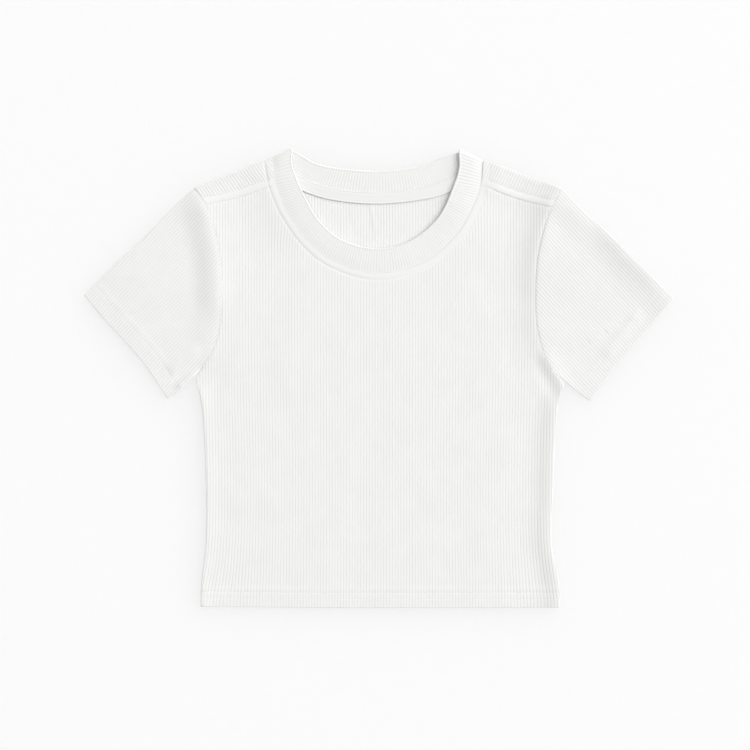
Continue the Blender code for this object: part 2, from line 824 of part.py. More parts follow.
def make_neckband(material: bpy.types.Material) -> bpy.types.Object:
    """The neckband: a ring of folded rib, which turns over at each end of the shoulders."""
    centres: list[list[Vector]] = []  # each station's middle points, from the seam to the edge
    facings: list[Vector] = []  # each station's outward direction
    crests: list[tuple[float, float]] = []  # rib height on the outer and on the inner face
    top_levels = [band_levels(section, 1) for section in BAND_SECTION]
    turns = []
    for seam_end, edge_end, sign in (
        (NECK_SEAM[-1], FRONT_EDGE[-1], -1),
        (NECK_SEAM[0], FRONT_EDGE[0], 1),
    ):
        start, end = Vector(seam_end), Vector(edge_end)
        run = (end - start).normalized()
        start += run * TURN_CLEARANCE
        outward = Vector((-run.y, run.x)) * sign
        radii = []
        for section, levels in zip(BAND_SECTION, top_levels):
            radii.append((levels.front - levels.back) / 2 + section.thickness / 2)
        turns.append((start, end, outward, radii))

    def ends_drawn_in(places: Sequence[Place], column: int) -> Line:
        """A line of the band that stops short of its turns by the turns' own radius."""
        right, left = turns
        first = left[column] - left[2] * left[3][2 * column]
        last = right[column] - right[2] * right[3][2 * column]
        return smooth([first, *places[1:-1], last], BAND_CURVE_STEP)

    def add_run(seam: Line, edge: Line, matches, ribs: int, front: bool, backwards: bool) -> None:
        shares = [i / (2 * ribs) for i in range(2 * ribs + 1)]
        for share in reversed(shares) if backwards else shares:
            start, end = along(seam, share), along(edge, matched(matches, share))
            crest = rib(share * ribs)
            middle = []
            for section in BAND_SECTION:
                place = start.lerp(end, section.share)
                lift = ramp(start.lerp(end, 1).y, BAND_LIFT_FOOT, BAND_LIFT_TOP) if front else 1
                levels = band_levels(section, lift)
                middle.append(Vector((*place, levels.front if front else levels.back)))
            centres.append(middle)
            facings.append(Vector((0, 0, 1 if front else -1)))
            crests.append((crest * RIB_HEIGHT, 0) if front else (0, crest * INSIDE_RIB_HEIGHT))

    def add_turn(turn, angles: Sequence[float]) -> None:
        start, end, outward, radii = turn
        for angle in angles:
            facing = Vector((*(outward * math.sin(angle)), math.cos(angle)))
            middle = []
            for section, levels, radius in zip(BAND_SECTION, top_levels, radii):
                axis = start.lerp(end, section.share) - outward * radius
                level = (levels.front + levels.back) / 2
                swing = (levels.front - levels.back) / 2
                middle.append(Vector((*axis, level)) + facing * swing)
            centres.append(middle)
            facings.append(facing)
            crests.append((0, 0))

    front_lines = ends_drawn_in(NECK_SEAM, 0), ends_drawn_in(FRONT_EDGE, 1)
    back_lines = ends_drawn_in(BACK_NECK_SEAM, 0), ends_drawn_in(BACK_EDGE, 1)
    angles = [math.pi * i / FOLD_STEPS for i in range(1, FOLD_STEPS)]
    add_run(*front_lines, FRONT_MATCH, FRONT_RIBS, True, False)
    add_turn(turns[0], angles)
    add_run(*back_lines, BACK_MATCH, BACK_RIBS, False, True)
    add_turn(turns[1], angles[::-1])

    mesh = bmesh.new()
    rings = []
    for middle, facing, (outer, inner) in zip(centres, facings, crests):
        face = [
            point + facing * (section.thickness / 2 + outer * section.ribbed)
            for point, section in zip(middle, BAND_SECTION)
        ]
        reverse = [
            point - facing * (section.thickness / 2 + inner * section.ribbed)
            for point, section in zip(middle, BAND_SECTION[:-1])
        ]
        rings.append([mesh.verts.new(point * METRES) for point in face + reverse[::-1]])
    for ring, following in zip(rings, rings[1:] + rings[:1]):
        for i in range(len(ring)):
            j = (i + 1) % len(ring)
            mesh.faces.new((ring[i], ring[j], following[j], following[i]))
    bmesh.ops.triangulate(mesh, faces=mesh.faces)
    bmesh.ops.recalc_face_normals(mesh, faces=mesh.faces)
    data = bpy.data.meshes.new("neckband")
    mesh.to_mesh(data)
    mesh.free()
    return finish(bpy.data.objects.new("neckband", data), material)


def make_tape(material: bpy.types.Material) -> bpy.types.Object:
    """The tape that covers the back neck seam on the inside."""
    seam = [p for p in smooth(BACK_NECK_SEAM) if TAPE_ENDS[0] < p.x < TAPE_ENDS[1]]
    half = TAPE_WIDTH / 2
    panel_edge = beside(seam, -half)
    seam_end, ribbed_part = BAND_SECTION[:2]
    climb = ribbed_part.thickness - seam_end.thickness + INSIDE_RIB_HEIGHT
    slope = climb / (ribbed_part.share * BAND_WIDTH)

    def lower(x: float, y: float) -> float:
        onto_band = max(distance_to(panel_edge, x, y) - half, 0)
        return seam_end.thickness + SEAM_GAP + slope * onto_band

    def upper(x: float, y: float) -> float:
        return lower(x, y) + TAPE_THICKNESS

    loop = joined(panel_edge, beside(seam, half)[::-1])
    return finish(wall("neck_tape", loop, upper, lower, (), [seam]), material)


for old in list(bpy.data.objects):
    bpy.data.objects.remove(old)

GARMENT = bpy.data.collections.new("cropped_rib_top")
CUTTERS = bpy.data.collections.new("cutters")
bpy.context.scene.collection.children.link(GARMENT)
bpy.context.scene.collection.children.link(CUTTERS)

RIB_KNIT = cloth("white_rib_knit", (0.86, 0.86, 0.855), 0.9)
NECK_TAPE = cloth("white_jersey_tape", (0.84, 0.84, 0.835), 0.85)

make_back(RIB_KNIT)
make_front(RIB_KNIT)
make_sleeve("sleeve_left", LEFT, RIB_KNIT)
make_sleeve("sleeve_right", RIGHT, RIB_KNIT)
make_neckband(RIB_KNIT)
make_tape(NECK_TAPE)
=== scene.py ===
"""Dresses the cropped rib top: ribs, seams, hems, stitches and creases, and the studio round it.

Every cloth piece is made again, more finely, on the form of its CAD solid. Sizes are millimetres
until a mesh is made. +Z is up off the surface, +Y runs towards the neck and +X to the right.
"""

import logging
import math
from dataclasses import dataclass, field
from enum import Enum
from typing import Callable, NamedTuple, Sequence

import bpy
import numpy as np
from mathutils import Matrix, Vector
from mathutils.geometry import delaunay_2d_cdt


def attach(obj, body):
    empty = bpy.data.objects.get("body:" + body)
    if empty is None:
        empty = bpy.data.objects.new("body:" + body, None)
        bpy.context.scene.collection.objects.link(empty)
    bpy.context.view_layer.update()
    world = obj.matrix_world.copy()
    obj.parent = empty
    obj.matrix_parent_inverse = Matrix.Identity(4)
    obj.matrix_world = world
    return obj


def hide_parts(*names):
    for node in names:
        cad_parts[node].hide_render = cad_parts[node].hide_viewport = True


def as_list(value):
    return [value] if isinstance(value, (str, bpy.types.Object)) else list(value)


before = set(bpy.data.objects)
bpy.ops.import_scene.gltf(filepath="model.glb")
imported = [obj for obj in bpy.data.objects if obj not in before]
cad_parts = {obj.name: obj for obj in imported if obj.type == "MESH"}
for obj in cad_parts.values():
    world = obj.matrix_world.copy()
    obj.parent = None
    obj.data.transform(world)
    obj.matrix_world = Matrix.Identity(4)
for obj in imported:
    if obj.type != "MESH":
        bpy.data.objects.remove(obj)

LOG = logging.getLogger("cropped_rib_top")
METRES = 0.001
NOISE_ROUGHNESS = 0.55

Place = tuple[float, float]  # a point seen from above
Span = tuple[float, float]  # where something starts to change, and where it has changed
Table = Sequence[tuple[float, float]]  # values at distances or at shares of a line, in pairs
Line = np.ndarray  # points seen from above, one a row
Spots = np.ndarray  # many places seen from above, one a row
Values = np.ndarray  # one number for each place


# Sizes of the cloth and its making up

PLY = 1.2
SEAM_GAP = 0.3
SEWN_GAP = 0.06  # between pieces, where a seam pulls them together
RIB_PITCH = 2.8
RIB_HEIGHT = 0.11
INSIDE_RIB_HEIGHT = 0.12
RIB_UNEVENNESS = 0.3  # the share by which ribs differ in height
RIB_SCATTER = (12.9898, 43758.5453)  # which gives each rib its own height
RIB_SHAPE = 0.8  # under 1, a crest is broad and the furrow beside it narrow
HEM_DEPTH = 18.0
HEM_THICKNESS = 1.4
HEM_RAMP = 4.0
NEEDLE_WIDTH = 0.75
TOPSTITCH = 6.4  # from a seam to the row that holds its allowance down
TOPSTITCH_WIDTH = 0.8
PAST_TOPSTITCH = (TOPSTITCH + 0.3, TOPSTITCH + 1.3)  # over which ribs rise again
FRONT_LEVEL = PLY + SEAM_GAP
CAVITY_CLEARANCE = 0.05
RIM = 0.4
EDGE_RADIUS = 0.32
STEP = 0.1  # the run of a nearly upright step
FOLD_WALL = 1.4
LOFT = 0.6  # air between the front and the back

# The mesh

CURVE_STEP = 1.6
COARSE_STEP = 6.0
BACK_STEP = 9.0
ROW_STEP = 4.6
RIB_SAMPLES = (-0.5, -0.36, -0.14, 0.14, 0.36)  # across one rib
RIB_END = 0.6
RIB_MARGIN = 3  # ribs that drift in from outside an area
DRIFT_ROUNDS = 5
HALVINGS = 9
CORNER_CLEARANCE = 1.5
LINE_CLEARANCE = 0.2
POINT_CLEARANCE = 3.0
SHARPEST = 0.4
MERGE = 0.002
SAME_PLACE = 0.02  # two points of a loop that are nearer are one
SHARP_ANGLE = math.radians(62)

# Rows of the mesh, as distances from a hem's edge, from a seam with a strip beside it, from a
# fold, from an armhole and from the body's side edges
HEM_ROWS = (
    0.4, 1.0, 2.5, 5.0, 6.5, 7.2, 7.6, 8.0, 8.4, 8.8, 9.6, 11.3, 12.9, 13.6, 14.0, 14.4, 14.8,
    15.2, 16.2, 17.2, 17.9, 18.6, 19.3, 20.1, 21.2, 23.0,
)
STRIP_ROWS = (0.4, 0.9, 1.6, 3.0, 4.6, 5.4, 5.8, 6.1, 6.4, 6.7, 7.0, 7.4)
FOLD_ROWS = (0.06, 0.16, 0.34)
ARMHOLE_ROWS = (0.4, 0.9, 1.6, 2.6)
FRONT_SIDE_ROWS = (0.5, 1.1)
BACK_SIDE_ROWS = (0.4, 1.1)


# Lines seen from above


def smooth(places: Sequence[Place], step: float = CURVE_STEP) -> Line:
    """Draws a smooth curve through places.

    Args:
        places: where the curve passes.
        step: the run between its points.

    Returns:
        The curve's points.
    """
    points = np.array(places, float)
    last = len(points) - 1
    slopes = []
    for i in range(last + 1):
        before, after = points[max(i - 1, 0)], points[min(i + 1, last)]
        run = np.linalg.norm(points[i] - before) + np.linalg.norm(after - points[i])
        slopes.append((after - before) / run)
    curve = []
    for i in range(last):
        start, end = points[i], points[i + 1]
        span = float(np.linalg.norm(end - start))
        t = np.linspace(0, 1, max(2, round(span / step) + 1))[:-1, None]
        leave, arrive = start + slopes[i] * span / 3, end - slopes[i + 1] * span / 3
        curve.append(
            (1 - t) ** 3 * start
            + 3 * (1 - t) ** 2 * t * leave
            + 3 * (1 - t) * t**2 * arrive
            + t**3 * end
        )
    return np.vstack([*curve, points[last:]])


def lengths(line: Line) -> Values:
    """The distance along a line to each of its points."""
    steps = np.linalg.norm(np.diff(line, axis=0), axis=1)
    return np.concatenate([[0.0], np.cumsum(steps)])


def along(line: Line, shares: Values) -> Spots:
    """The places at shares of a line's length.

    Args:
        line: the line.
        shares: the shares of its length, from 0 to 1.

    Returns:
        A place for each share.
    """
    run = lengths(line)
    wanted = np.asarray(shares) * run[-1]
    return np.stack([np.interp(wanted, run, line[:, axis]) for axis in range(line.shape[1])], 1)


def beside(line: Line, distance: float) -> Line:
    """The line moved to its left, or to its right where distance is negative.

    Args:
        line: the line.
        distance: how far to its left.

    Returns:
        The moved line, point for point.
    """
    ahead = np.vstack([line[1:], line[-1:]]) - np.vstack([line[:1], line[:-1]])
    left = np.stack([-ahead[:, 1], ahead[:, 0]], 1)
    return line + left / np.linalg.norm(left, axis=1, keepdims=True) * distance


def lengthened(line: Line, extra: float) -> Line:
    """The line carried on straight past both its ends.

    Args:
        line: the line.
        extra: how far each end is carried on.

    Returns:
        The longer line.
    """
    start = line[0] - line[1]
    end = line[-1] - line[-2]
    start, end = (run / np.linalg.norm(run) * extra for run in (start, end))
    return np.vstack([line[0] + start, line[1:-1], line[-1] + end])


def nearest(line: Line, spots: Spots) -> tuple[Values, Values]:
    """Finds the nearest point of a line to each place.

    Args:
        line: the line.
        spots: the places.

    Returns:
        How far it is from each place, and its share of the line's length.
    """
    squares = np.full(len(spots), np.inf)
    shares = np.zeros(len(spots))
    run = lengths(line)
    for i in range(len(line) - 1):
        way = line[i + 1] - line[i]
        square = float(way @ way)
        if square == 0:
            continue
        part = np.clip(((spots - line[i]) @ way) / square, 0, 1)
        gap = spots - line[i] - part[:, None] * way
        found = np.einsum("ij,ij->i", gap, gap)
        closer = found < squares
        squares[closer] = found[closer]
        shares[closer] = run[i] + part[closer] * (run[i + 1] - run[i])
    return np.sqrt(squares), shares / run[-1]


def distance_to(line: Line, spots: Spots) -> Values:
    """How far each place is from a line."""
    return nearest(line, spots)[0]


def inside(loop: Line, spots: Spots) -> np.ndarray:
    """Whether each place is inside a closed loop.

    Args:
        loop: the loop.
        spots: the places.

    Returns:
        True for each place that is inside.
    """
    found = np.zeros(len(spots), bool)
    x, y = spots[:, 0], spots[:, 1]
    for start, end in zip(loop, np.roll(loop, -1, axis=0)):
        crosses = (start[1] > y) != (end[1] > y)
        if start[1] != end[1]:
            crossing = start[0] + (y - start[1]) / (end[1] - start[1]) * (end[0] - start[0])
            found ^= crosses & (x < crossing)
    return found


def joined(*lines: Line) -> Line:
    """One anticlockwise loop through the lines in turn, with no point twice.

    Args:
        lines: the lines, in the order in which the loop runs through them.

    Returns:
        The loop, with no point again at its end.
    """
    points = np.vstack(lines)
    gaps = np.linalg.norm(points - np.roll(points, 1, axis=0), axis=1)
    loop = points[gaps > SAME_PLACE]
    following = np.roll(loop, -1, axis=0)
    turning = (loop[:, 0] * following[:, 1] - following[:, 0] * loop[:, 1]).sum()
    return loop if turning > 0 else loop[::-1]


def closed(loop: Line) -> Line:
    """The loop with its first point again at its end."""
    return np.vstack([loop, loop[:1]])


def trimmed(loop: Line, distance: float) -> Line:
    """The anticlockwise loop drawn in by a distance on all its sides.

    Args:
        loop: the loop.
        distance: how far it is drawn in, or out where negative.

    Returns:
        The new loop, point for point.
    """
    before = loop - np.roll(loop, 1, axis=0)
    after = np.roll(loop, -1, axis=0) - loop
    before, after = (run / np.linalg.norm(run, axis=1, keepdims=True) for run in (before, after))
    normal = np.stack([-before[:, 1] - after[:, 1], before[:, 0] + after[:, 0]], 1)
    normal /= np.linalg.norm(normal, axis=1, keepdims=True)
    square = (normal * np.stack([-before[:, 1], before[:, 0]], 1)).sum(1)
    return loop + normal * (distance / np.maximum(square, SHARPEST))[:, None]


def kept_inside(line: Line, loop: Line) -> list[Line]:
    """The stretches of a line whose points are inside a loop.

    Args:
        line: the line.
        loop: the loop.

    Returns:
        The stretches, of two points or more.
    """
    flags = inside(loop, line)
    parts = np.split(np.arange(len(line)), np.flatnonzero(np.diff(flags)) + 1)
    return [line[part] for part in parts if flags[part[0]] and len(part) > 1]


def least_distance(lines: Sequence[Line], spots: Spots) -> Values:
    """How far each place is from the nearest of several lines."""
    return np.min([distance_to(line, spots) for line in lines], axis=0)


def lines_beside(edge: Line, insets: Sequence[float], area: Line, sign: int = 1) -> list[Line]:
    """Lines inside an area at insets to an edge's left, or to its right where sign is -1."""
    return [part for inset in insets for part in kept_inside(beside(edge, sign * inset), area)]


# Shapes of cloth in height


def ramp(values: Values, low: float, high: float) -> Values:
    """0 up to low, 1 from high on, and smooth between."""
    t = np.clip((values - low) / (high - low), 0, 1)
    return t * t * (3 - 2 * t)


def rounding(inset: Values, thickness: Values | float) -> Values:
    """How far a rounded edge draws each face in, at a distance in from the edge.

    Args:
        inset: how far each place is in from the edge.
        thickness: the thickness of the cloth that is rounded.

    Returns:
        How far each face is drawn in at each place.
    """
    radius = np.minimum(np.asarray(thickness) / 2 - RIM / 2, EDGE_RADIUS)
    t = np.clip(1 - inset / radius, 0, 1)
    return radius * (1 - np.sqrt(1 - t**2))


def looked_up(table: Table, values: Values | float) -> Values:
    """What a table gives at each value, with straight lines between its rows."""
    return np.interp(values, *np.array(table, float).T)


def groove(distance: Values, depth: Values | float, width: float = NEEDLE_WIDTH) -> Values:
    """The depth of the soft groove that a row of stitches pulls in."""
    return -depth * np.exp(-((distance / width) ** 2))


@dataclass(frozen=True)
class Crease:
    """A soft ridge along a path, or a trough where its height is negative."""

    path: Sequence[Place]
    reach: float
    height: float
    fade: float = 0.3  # the share of its length over which each end dies away

    def at(self, spots: Spots) -> Values:
        """The height that the crease adds at each place.

        Args:
            spots: the places.

        Returns:
            The height at each place.
        """
        gap, share = nearest(smooth(self.path, COARSE_STEP), spots)
        ends = ramp(share, 0, self.fade) * ramp(1 - share, 0, self.fade)
        return self.height * np.exp(-((gap / self.reach) ** 2)) * ends


@dataclass(frozen=True)
class Drift:
    """A place where the cloth was pulled aside, so that its ribs bend."""

    middle: Place
    reach: Place
    shift: float

    def at(self, across: Values, down: Values) -> Values:
        """The sideways shift of the ribs at each place."""
        (x, y), (width, length) = self.middle, self.reach
        return self.shift * np.exp(-(((across - x) / width) ** 2) - ((down - y) / length) ** 2)


@dataclass(frozen=True)
class Swell:
    """A long, slow wave in cloth that isn't quite flat."""

    length: float
    bearing: float  # degrees
    height: float
    start: float
    bend: float = 0.35  # of its crests, as they run up the garment
    bend_rate: float = 2.1

    def at(self, spots: Spots) -> Values:
        """The height that the wave adds at each place.

        Args:
            spots: the places.

        Returns:
            The height at each place.
        """
        turn = math.radians(self.bearing)
        run = spots @ np.array([math.cos(turn), math.sin(turn)])
        bend = self.bend * np.sin(spots[:, 1] / self.length * self.bend_rate + self.start)
        return self.height * np.sin(run / self.length * math.tau + self.start + bend)


SWELLS = (
    Swell(83, 4, 0.08, 0.4),
    Swell(47, 163, 0.05, 2.1),
    Swell(61, 71, 0.05, 4.4),
    Swell(29, 22, 0.02, 1.3),
)


def swelling(spots: Spots) -> Values:
    """The height of all the slow waves together."""
    return sum(swell.at(spots) for swell in SWELLS)


def rib_relief(count: Values) -> Values:
    """The height of ribs at a count across them. No two ribs stand quite alike.

    Args:
        count: the count of ribs, whole on a crest.

    Returns:
        The height, as a share of a full rib's.
    """
    number = np.round(count)
    scatter = np.sin(number * RIB_SCATTER[0]) * RIB_SCATTER[1]
    height = 1 - RIB_UNEVENNESS * (scatter - np.floor(scatter))
    return height * np.maximum(np.cos(math.pi * (count - number)), 0) ** RIB_SHAPE


@dataclass(frozen=True)
class Grain:
    """How the ribs of a piece run."""

    lean: float = 0.0  # degrees from +Y, to the right where positive
    drifts: Sequence[Drift] = ()

    @property
    def direction(self) -> np.ndarray:
        """The way the ribs run."""
        turn = math.radians(self.lean)
        return np.array([math.sin(turn), math.cos(turn)])

    @property
    def across(self) -> np.ndarray:
        """The way across the ribs."""
        return np.array([self.direction[1], -self.direction[0]])

    def shift(self, across: Values, down: Values) -> Values:
        """How far the ribs are pulled aside."""
        return sum((drift.at(across, down) for drift in self.drifts), np.zeros_like(across))

    def count(self, spots: Spots) -> Values:
        """The count of ribs across the piece at each place, whole on a rib's crest."""
        across, down = spots @ self.across, spots @ self.direction
        return (across - self.shift(across, down)) / RIB_PITCH

    def relief(self, spots: Spots) -> Values:
        """The height of the ribs at each place, as a share of their own."""
        return rib_relief(self.count(spots))

    def columns(self, area: Line, reach: Span) -> list[Line]:
        """Draws lines along the ribs inside an area.

        Args:
            area: the closed loop that the lines stay in.
            reach: the distances along the ribs between which the area lies.

        Returns:
            The lines, each of which ends at the area's edge.
        """
        across = area @ self.across
        first, last = math.floor(across.min() / RIB_PITCH), math.ceil(across.max() / RIB_PITCH)
        ribs = np.arange(first - RIB_MARGIN, last + RIB_MARGIN + 1)
        start = (ribs[:, None] + np.array(RIB_SAMPLES)).reshape(-1, 1) * RIB_PITCH
        rows = np.arange(reach[0], reach[1] + ROW_STEP, ROW_STEP)
        down = np.broadcast_to(rows, (len(start), len(rows)))
        place = np.broadcast_to(start, down.shape)
        for _ in range(DRIFT_ROUNDS):
            place = start + self.shift(place, down)
        grid = place[..., None] * self.across + down[..., None] * self.direction
        flags = inside(area, grid.reshape(-1, 2)).reshape(down.shape)
        column, row = np.nonzero(flags[:, 1:] != flags[:, :-1])
        low, high = grid[column, row], grid[column, row + 1]
        low_in = flags[column, row]
        for _ in range(HALVINGS):
            middle = (low + high) / 2
            same = inside(area, middle) == low_in
            low[same], high[~same] = middle[same], middle[~same]
        edges = dict(zip(zip(column.tolist(), row.tolist()), np.where(low_in[:, None], low, high)))
        lines = []
        for i, within in enumerate(flags):
            run: list[np.ndarray] = []
            for j in range(len(rows)):
                if within[j]:
                    if not run and j and (i, j - 1) in edges:
                        run.append(edges[i, j - 1])
                    run.append(grid[i, j])
                elif run:
                    run.append(edges[i, j - 1])
                    lines.append(np.array(run))
                    run = []
            if len(run) > 1:
                lines.append(np.array(run))
        return lines


# Meshes


def triangulated(loop: Line, lines: Sequence[Line]) -> tuple[Spots, np.ndarray, dict[int, int]]:
    """Fills a loop with triangles that have edges along lines.

    Args:
        loop: the outline.
        lines: the lines. One with a single point only gives that point.

    Returns:
        The points, the triangles, and the point that stands for each point of the outline.
    """
    points = [loop]
    edges: list[tuple[int, int]] = []
    count = len(loop)
    for line in lines:
        edges += [(count + i, count + i + 1) for i in range(len(line) - 1)]
        points.append(line)
        count += len(line)
    vectors = [Vector(point) for point in np.vstack(points).tolist()]
    whole = [list(range(len(loop)))]
    found, _, faces, sources, _, within = delaunay_2d_cdt(vectors, edges, whole, 0, MERGE)
    kept = np.array([face for face, parts in zip(faces, within) if parts])
    used, faces_used = np.unique(kept, return_inverse=True)
    renamed = {old: new for new, old in enumerate(used.tolist())}
    under = {
        source: renamed[i]
        for i, origins in enumerate(sources)
        for source in origins
        if source < len(loop) and i in renamed
    }
    spots = np.array([found[i] for i in used.tolist()])
    return spots, faces_used.reshape(kept.shape), under


def rim_of(faces: np.ndarray) -> list[int]:
    """The points round the outside of a set of triangles, in order.

    Args:
        faces: the triangles, as numbers of points.

    Returns:
        The rim's points, anticlockwise.
    """
    ends = np.concatenate([faces[:, [0, 1]], faces[:, [1, 2]], faces[:, [2, 0]]])
    sides = set(map(tuple, ends.tolist()))
    onward = {a: b for a, b in sides if (b, a) not in sides}
    rim = [min(onward)]
    while onward[rim[-1]] != rim[0]:
        rim.append(onward[rim[-1]])
        if len(rim) > len(onward):
            raise ValueError("the outline crosses itself")
    return rim


def scattered(area: Line, step: float = COARSE_STEP) -> list[Line]:
    """Single points spread evenly inside an area.

    Args:
        area: the closed loop that the points stay in.
        step: the run between them.

    Returns:
        The points, each as a line of its own.
    """
    low, high = area.min(0), area.max(0)
    x, y = np.meshgrid(np.arange(low[0], high[0], step), np.arange(low[1], high[1], step))
    spots = np.stack([x.ravel(), y.ravel()], 1)
    return [spot[None] for spot in spots[inside(area, spots)]]


def mesh_object(
    name: str, points: np.ndarray, faces: Sequence[Sequence[int]], weave: np.ndarray
) -> bpy.types.Object:
    """Makes an object of a mesh whose sizes are in millimetres.

    Args:
        name: the object's name.
        points: its points.
        faces: its faces, as numbers of points.
        weave: for each point, the count of ribs, the run along them and the ribs' strength.

    Returns:
        The object, linked to the scene.
    """
    data = bpy.data.meshes.new(name)
    data.from_pydata((points * METRES).tolist(), [], faces)
    corner = np.zeros(len(data.loops), np.int32)
    data.loops.foreach_get("vertex_index", corner)
    ribs = data.uv_layers.new(name="weave")
    ribs.data.foreach_set("uv", weave[corner, :2].astype(np.float32).ravel())
    strength = data.uv_layers.new(name="rib_strength")
    level = np.stack([weave[corner, 2], np.zeros(len(corner))], 1)
    strength.data.foreach_set("uv", level.astype(np.float32).ravel())
    data.validate()
    piece = bpy.data.objects.new(name, data)
    bpy.context.scene.collection.objects.link(piece)
    return piece


def shaded(piece: bpy.types.Object) -> bpy.types.Object:
    """Shades a piece smooth, apart from its sharp edges.

    Args:
        piece: the piece.

    Returns:
        The piece.
    """
    piece.data.shade_smooth()
    piece.data.set_sharp_from_angle(angle=SHARP_ANGLE)
    return piece


def no_ribs(spots: Spots) -> np.ndarray:
    """The weave of a face that has none."""
    return np.zeros((len(spots), 3))


class Face(NamedTuple):
    """One face of a wall: its level, and the lines and points that guide its mesh."""

    level: Callable[[Spots], Values]
    lines: Sequence[Line] = ()


def wall(
    name: str,
    outline: Line,
    upper: Face,
    lower: Face,
    weave: Callable[[Spots], np.ndarray] = no_ribs,
) -> bpy.types.Object:
    """Makes a closed wall between an upper and a lower face.

    Args:
        name: the object's name.
        outline: its outline seen from above.
        upper: the upper face.
        lower: the lower face.
        weave: gives the count of ribs, the run along them and their strength.

    Returns:
        The object.
    """
    top, top_faces, _ = triangulated(outline, upper.lines)
    rim = rim_of(top_faces)
    bottom, bottom_faces, under = triangulated(top[rim], lower.lines)
    count = len(top)
    faces = top_faces.tolist() + (bottom_faces[:, ::-1] + count).tolist()
    for i, start in enumerate(rim):
        j = (i + 1) % len(rim)
        faces.append([rim[j], start, under[i] + count, under[j] + count])
    above = np.column_stack([top, upper.level(top)])
    below = np.column_stack([bottom, lower.level(bottom)])
    woven = np.vstack([weave(top), weave(bottom)])
    return mesh_object(name, np.vstack([above, below]), faces, woven)


def hollowed(piece: bpy.types.Object, cutter: bpy.types.Object) -> bpy.types.Object:
    """Takes a cutter's shape out of a piece and removes the cutter.

    Args:
        piece: the piece.
        cutter: the shape to take out of it.

    Returns:
        The piece.
    """
    boolean = piece.modifiers.new("inside", "BOOLEAN")
    boolean.operation = "DIFFERENCE"
    boolean.object = cutter
    graph = bpy.context.evaluated_depsgraph_get()
    result = bpy.data.meshes.new_from_object(piece.evaluated_get(graph))
    piece.modifiers.clear()
    piece.data = result
    bpy.data.objects.remove(cutter)
    return piece


# Tables of the garment


class Hand(Enum):
    """A side of the garment. The value is the way along X from that side's edge to the middle."""

    LEFT = 1
    RIGHT = -1


@dataclass(frozen=True)
class Side:
    """One side of the garment: the lines that its pieces share, and how its cloth stands up.

    A rise is a table of heights at distances in from a seam, whose allowance fills the cloth.
    """

    hand: Hand
    fold: Sequence[Place]
    shoulder_seam: Sequence[Place]
    armhole: Sequence[Place]
    body_edge: Sequence[Place]
    sleeve_top: Sequence[Place]
    cuff: Sequence[Place]
    sleeve_under: Sequence[Place]
    strip_lean: float  # of the ribs on the shoulder that folds forward, degrees
    sleeve_lean: float
    side_rise: Table
    front_shoulder_rise: Table
    neck_strip_rise: Table
    body_head: Table  # the rise of the body beside the armhole
    sleeve_head: Table  # the rise of the sleeve beside the armhole
    head_strength: Table  # the part of both rises at shares of the way down the armhole
    sleeve_top_rise: Table
    sleeve_creases: Sequence[Crease]
    body_ditch: float  # how much of ARMHOLE_DITCH the seam pulls into the body
    sleeve_ditch: float
    shoulder_lift: float
    neck_lift: float  # how high the cloth round the neck is held
    neck_stitch_depth: float

    @property
    def sign(self) -> int:
        """The way along X from the side's edge to the middle."""
        return self.hand.value


RIGHT_UNDERARM = ((159, 32), (167.4, 13.2), (180.3, -10.3), (187.5, -27))

LEFT = Side(
    hand=Hand.LEFT,
    fold=((-106, 214), (-147, 197), (-179.5, 184.5)),
    shoulder_seam=((-101, 187.5), (-137, 175.5), (-168.8, 168.3)),
    armhole=(
        (-179.5, 184.5), (-169, 168.5), (-162, 149), (-156, 127), (-153, 100), (-153, 76),
        (-155.5, 49.5), (-160.5, 30), (-172, 10),
    ),
    body_edge=(
        (-172, 10), (-177.5, 0), (-177.5, -7), (-174.5, -16), (-171, -44), (-168.5, -100),
        (-168.5, -160), (-173, -201), (-173.5, -222.3),
    ),
    sleeve_top=((-179.5, 184.5), (-198.5, 167), (-231.5, 133.5), (-258.5, 108.5), (-286.5, 80)),
    cuff=((-286.5, 80), (-267.5, 57), (-246.5, 34.5), (-228.5, 13.5), (-206, -20)),
    sleeve_under=((-206, -20), (-187.5, -8.5), (-179.5, 1.5), (-172, 10)),
    strip_lean=-35.0,
    sleeve_lean=42.8,
    side_rise=((0, 0.75), (2, 0.95), (4, 0.85), (8, 0.55), (12, 0.3), (18, 0.1), (26, 0)),
    front_shoulder_rise=((0, -0.1), (1.5, 0.12), (5, 0.1), (12, 0)),
    neck_strip_rise=(
        (0, 0.3), (0.5, 0.34), (2.5, 0.38), (4.2, 0.36), (5.6, 0.1), (6.4, 0), (14, 0),
    ),
    body_head=(
        (0, 1.75), (0.8, 1.75), (2, 1.65), (4, 1.45), (8, 1.15), (12, 0.9), (16, 0.7), (30, 0.3),
        (50, 0),
    ),
    sleeve_head=(
        (0, 2.5), (1.2, 2.55), (3, 2.8), (5.5, 2.95), (8, 2.8), (12, 2.35), (16, 1.7), (20, 0.95),
        (24, 0.35), (28, 0.05), (32, 0), (60, 0.3), (100, 0.8),
    ),
    head_strength=((0, 0.15), (0.1, 1), (0.6, 1), (0.75, 0.4), (0.9, 0.3), (1, 0)),
    sleeve_top_rise=((0, 0),),
    sleeve_creases=(
        Crease(((-204, -6), (-190, 3), (-172, 14)), 3.5, -0.6),
        Crease(((-200, -12), (-188, -2), (-174, 9)), 3.5, 1.2),
        Crease(((-208, 6), (-190, 16), (-172, 28)), 7.0, 0.9, 0.25),
        Crease(((-196, 206), (-180, 182), (-168, 162), (-160, 140)), 9.0, 0.8),
        Crease(((-262, 88), (-240, 70), (-222, 60)), 11.0, -0.2),
    ),
    body_ditch=0.8,
    sleeve_ditch=0.0,
    shoulder_lift=0.1,
    neck_lift=1.5,
    neck_stitch_depth=0.16,
)
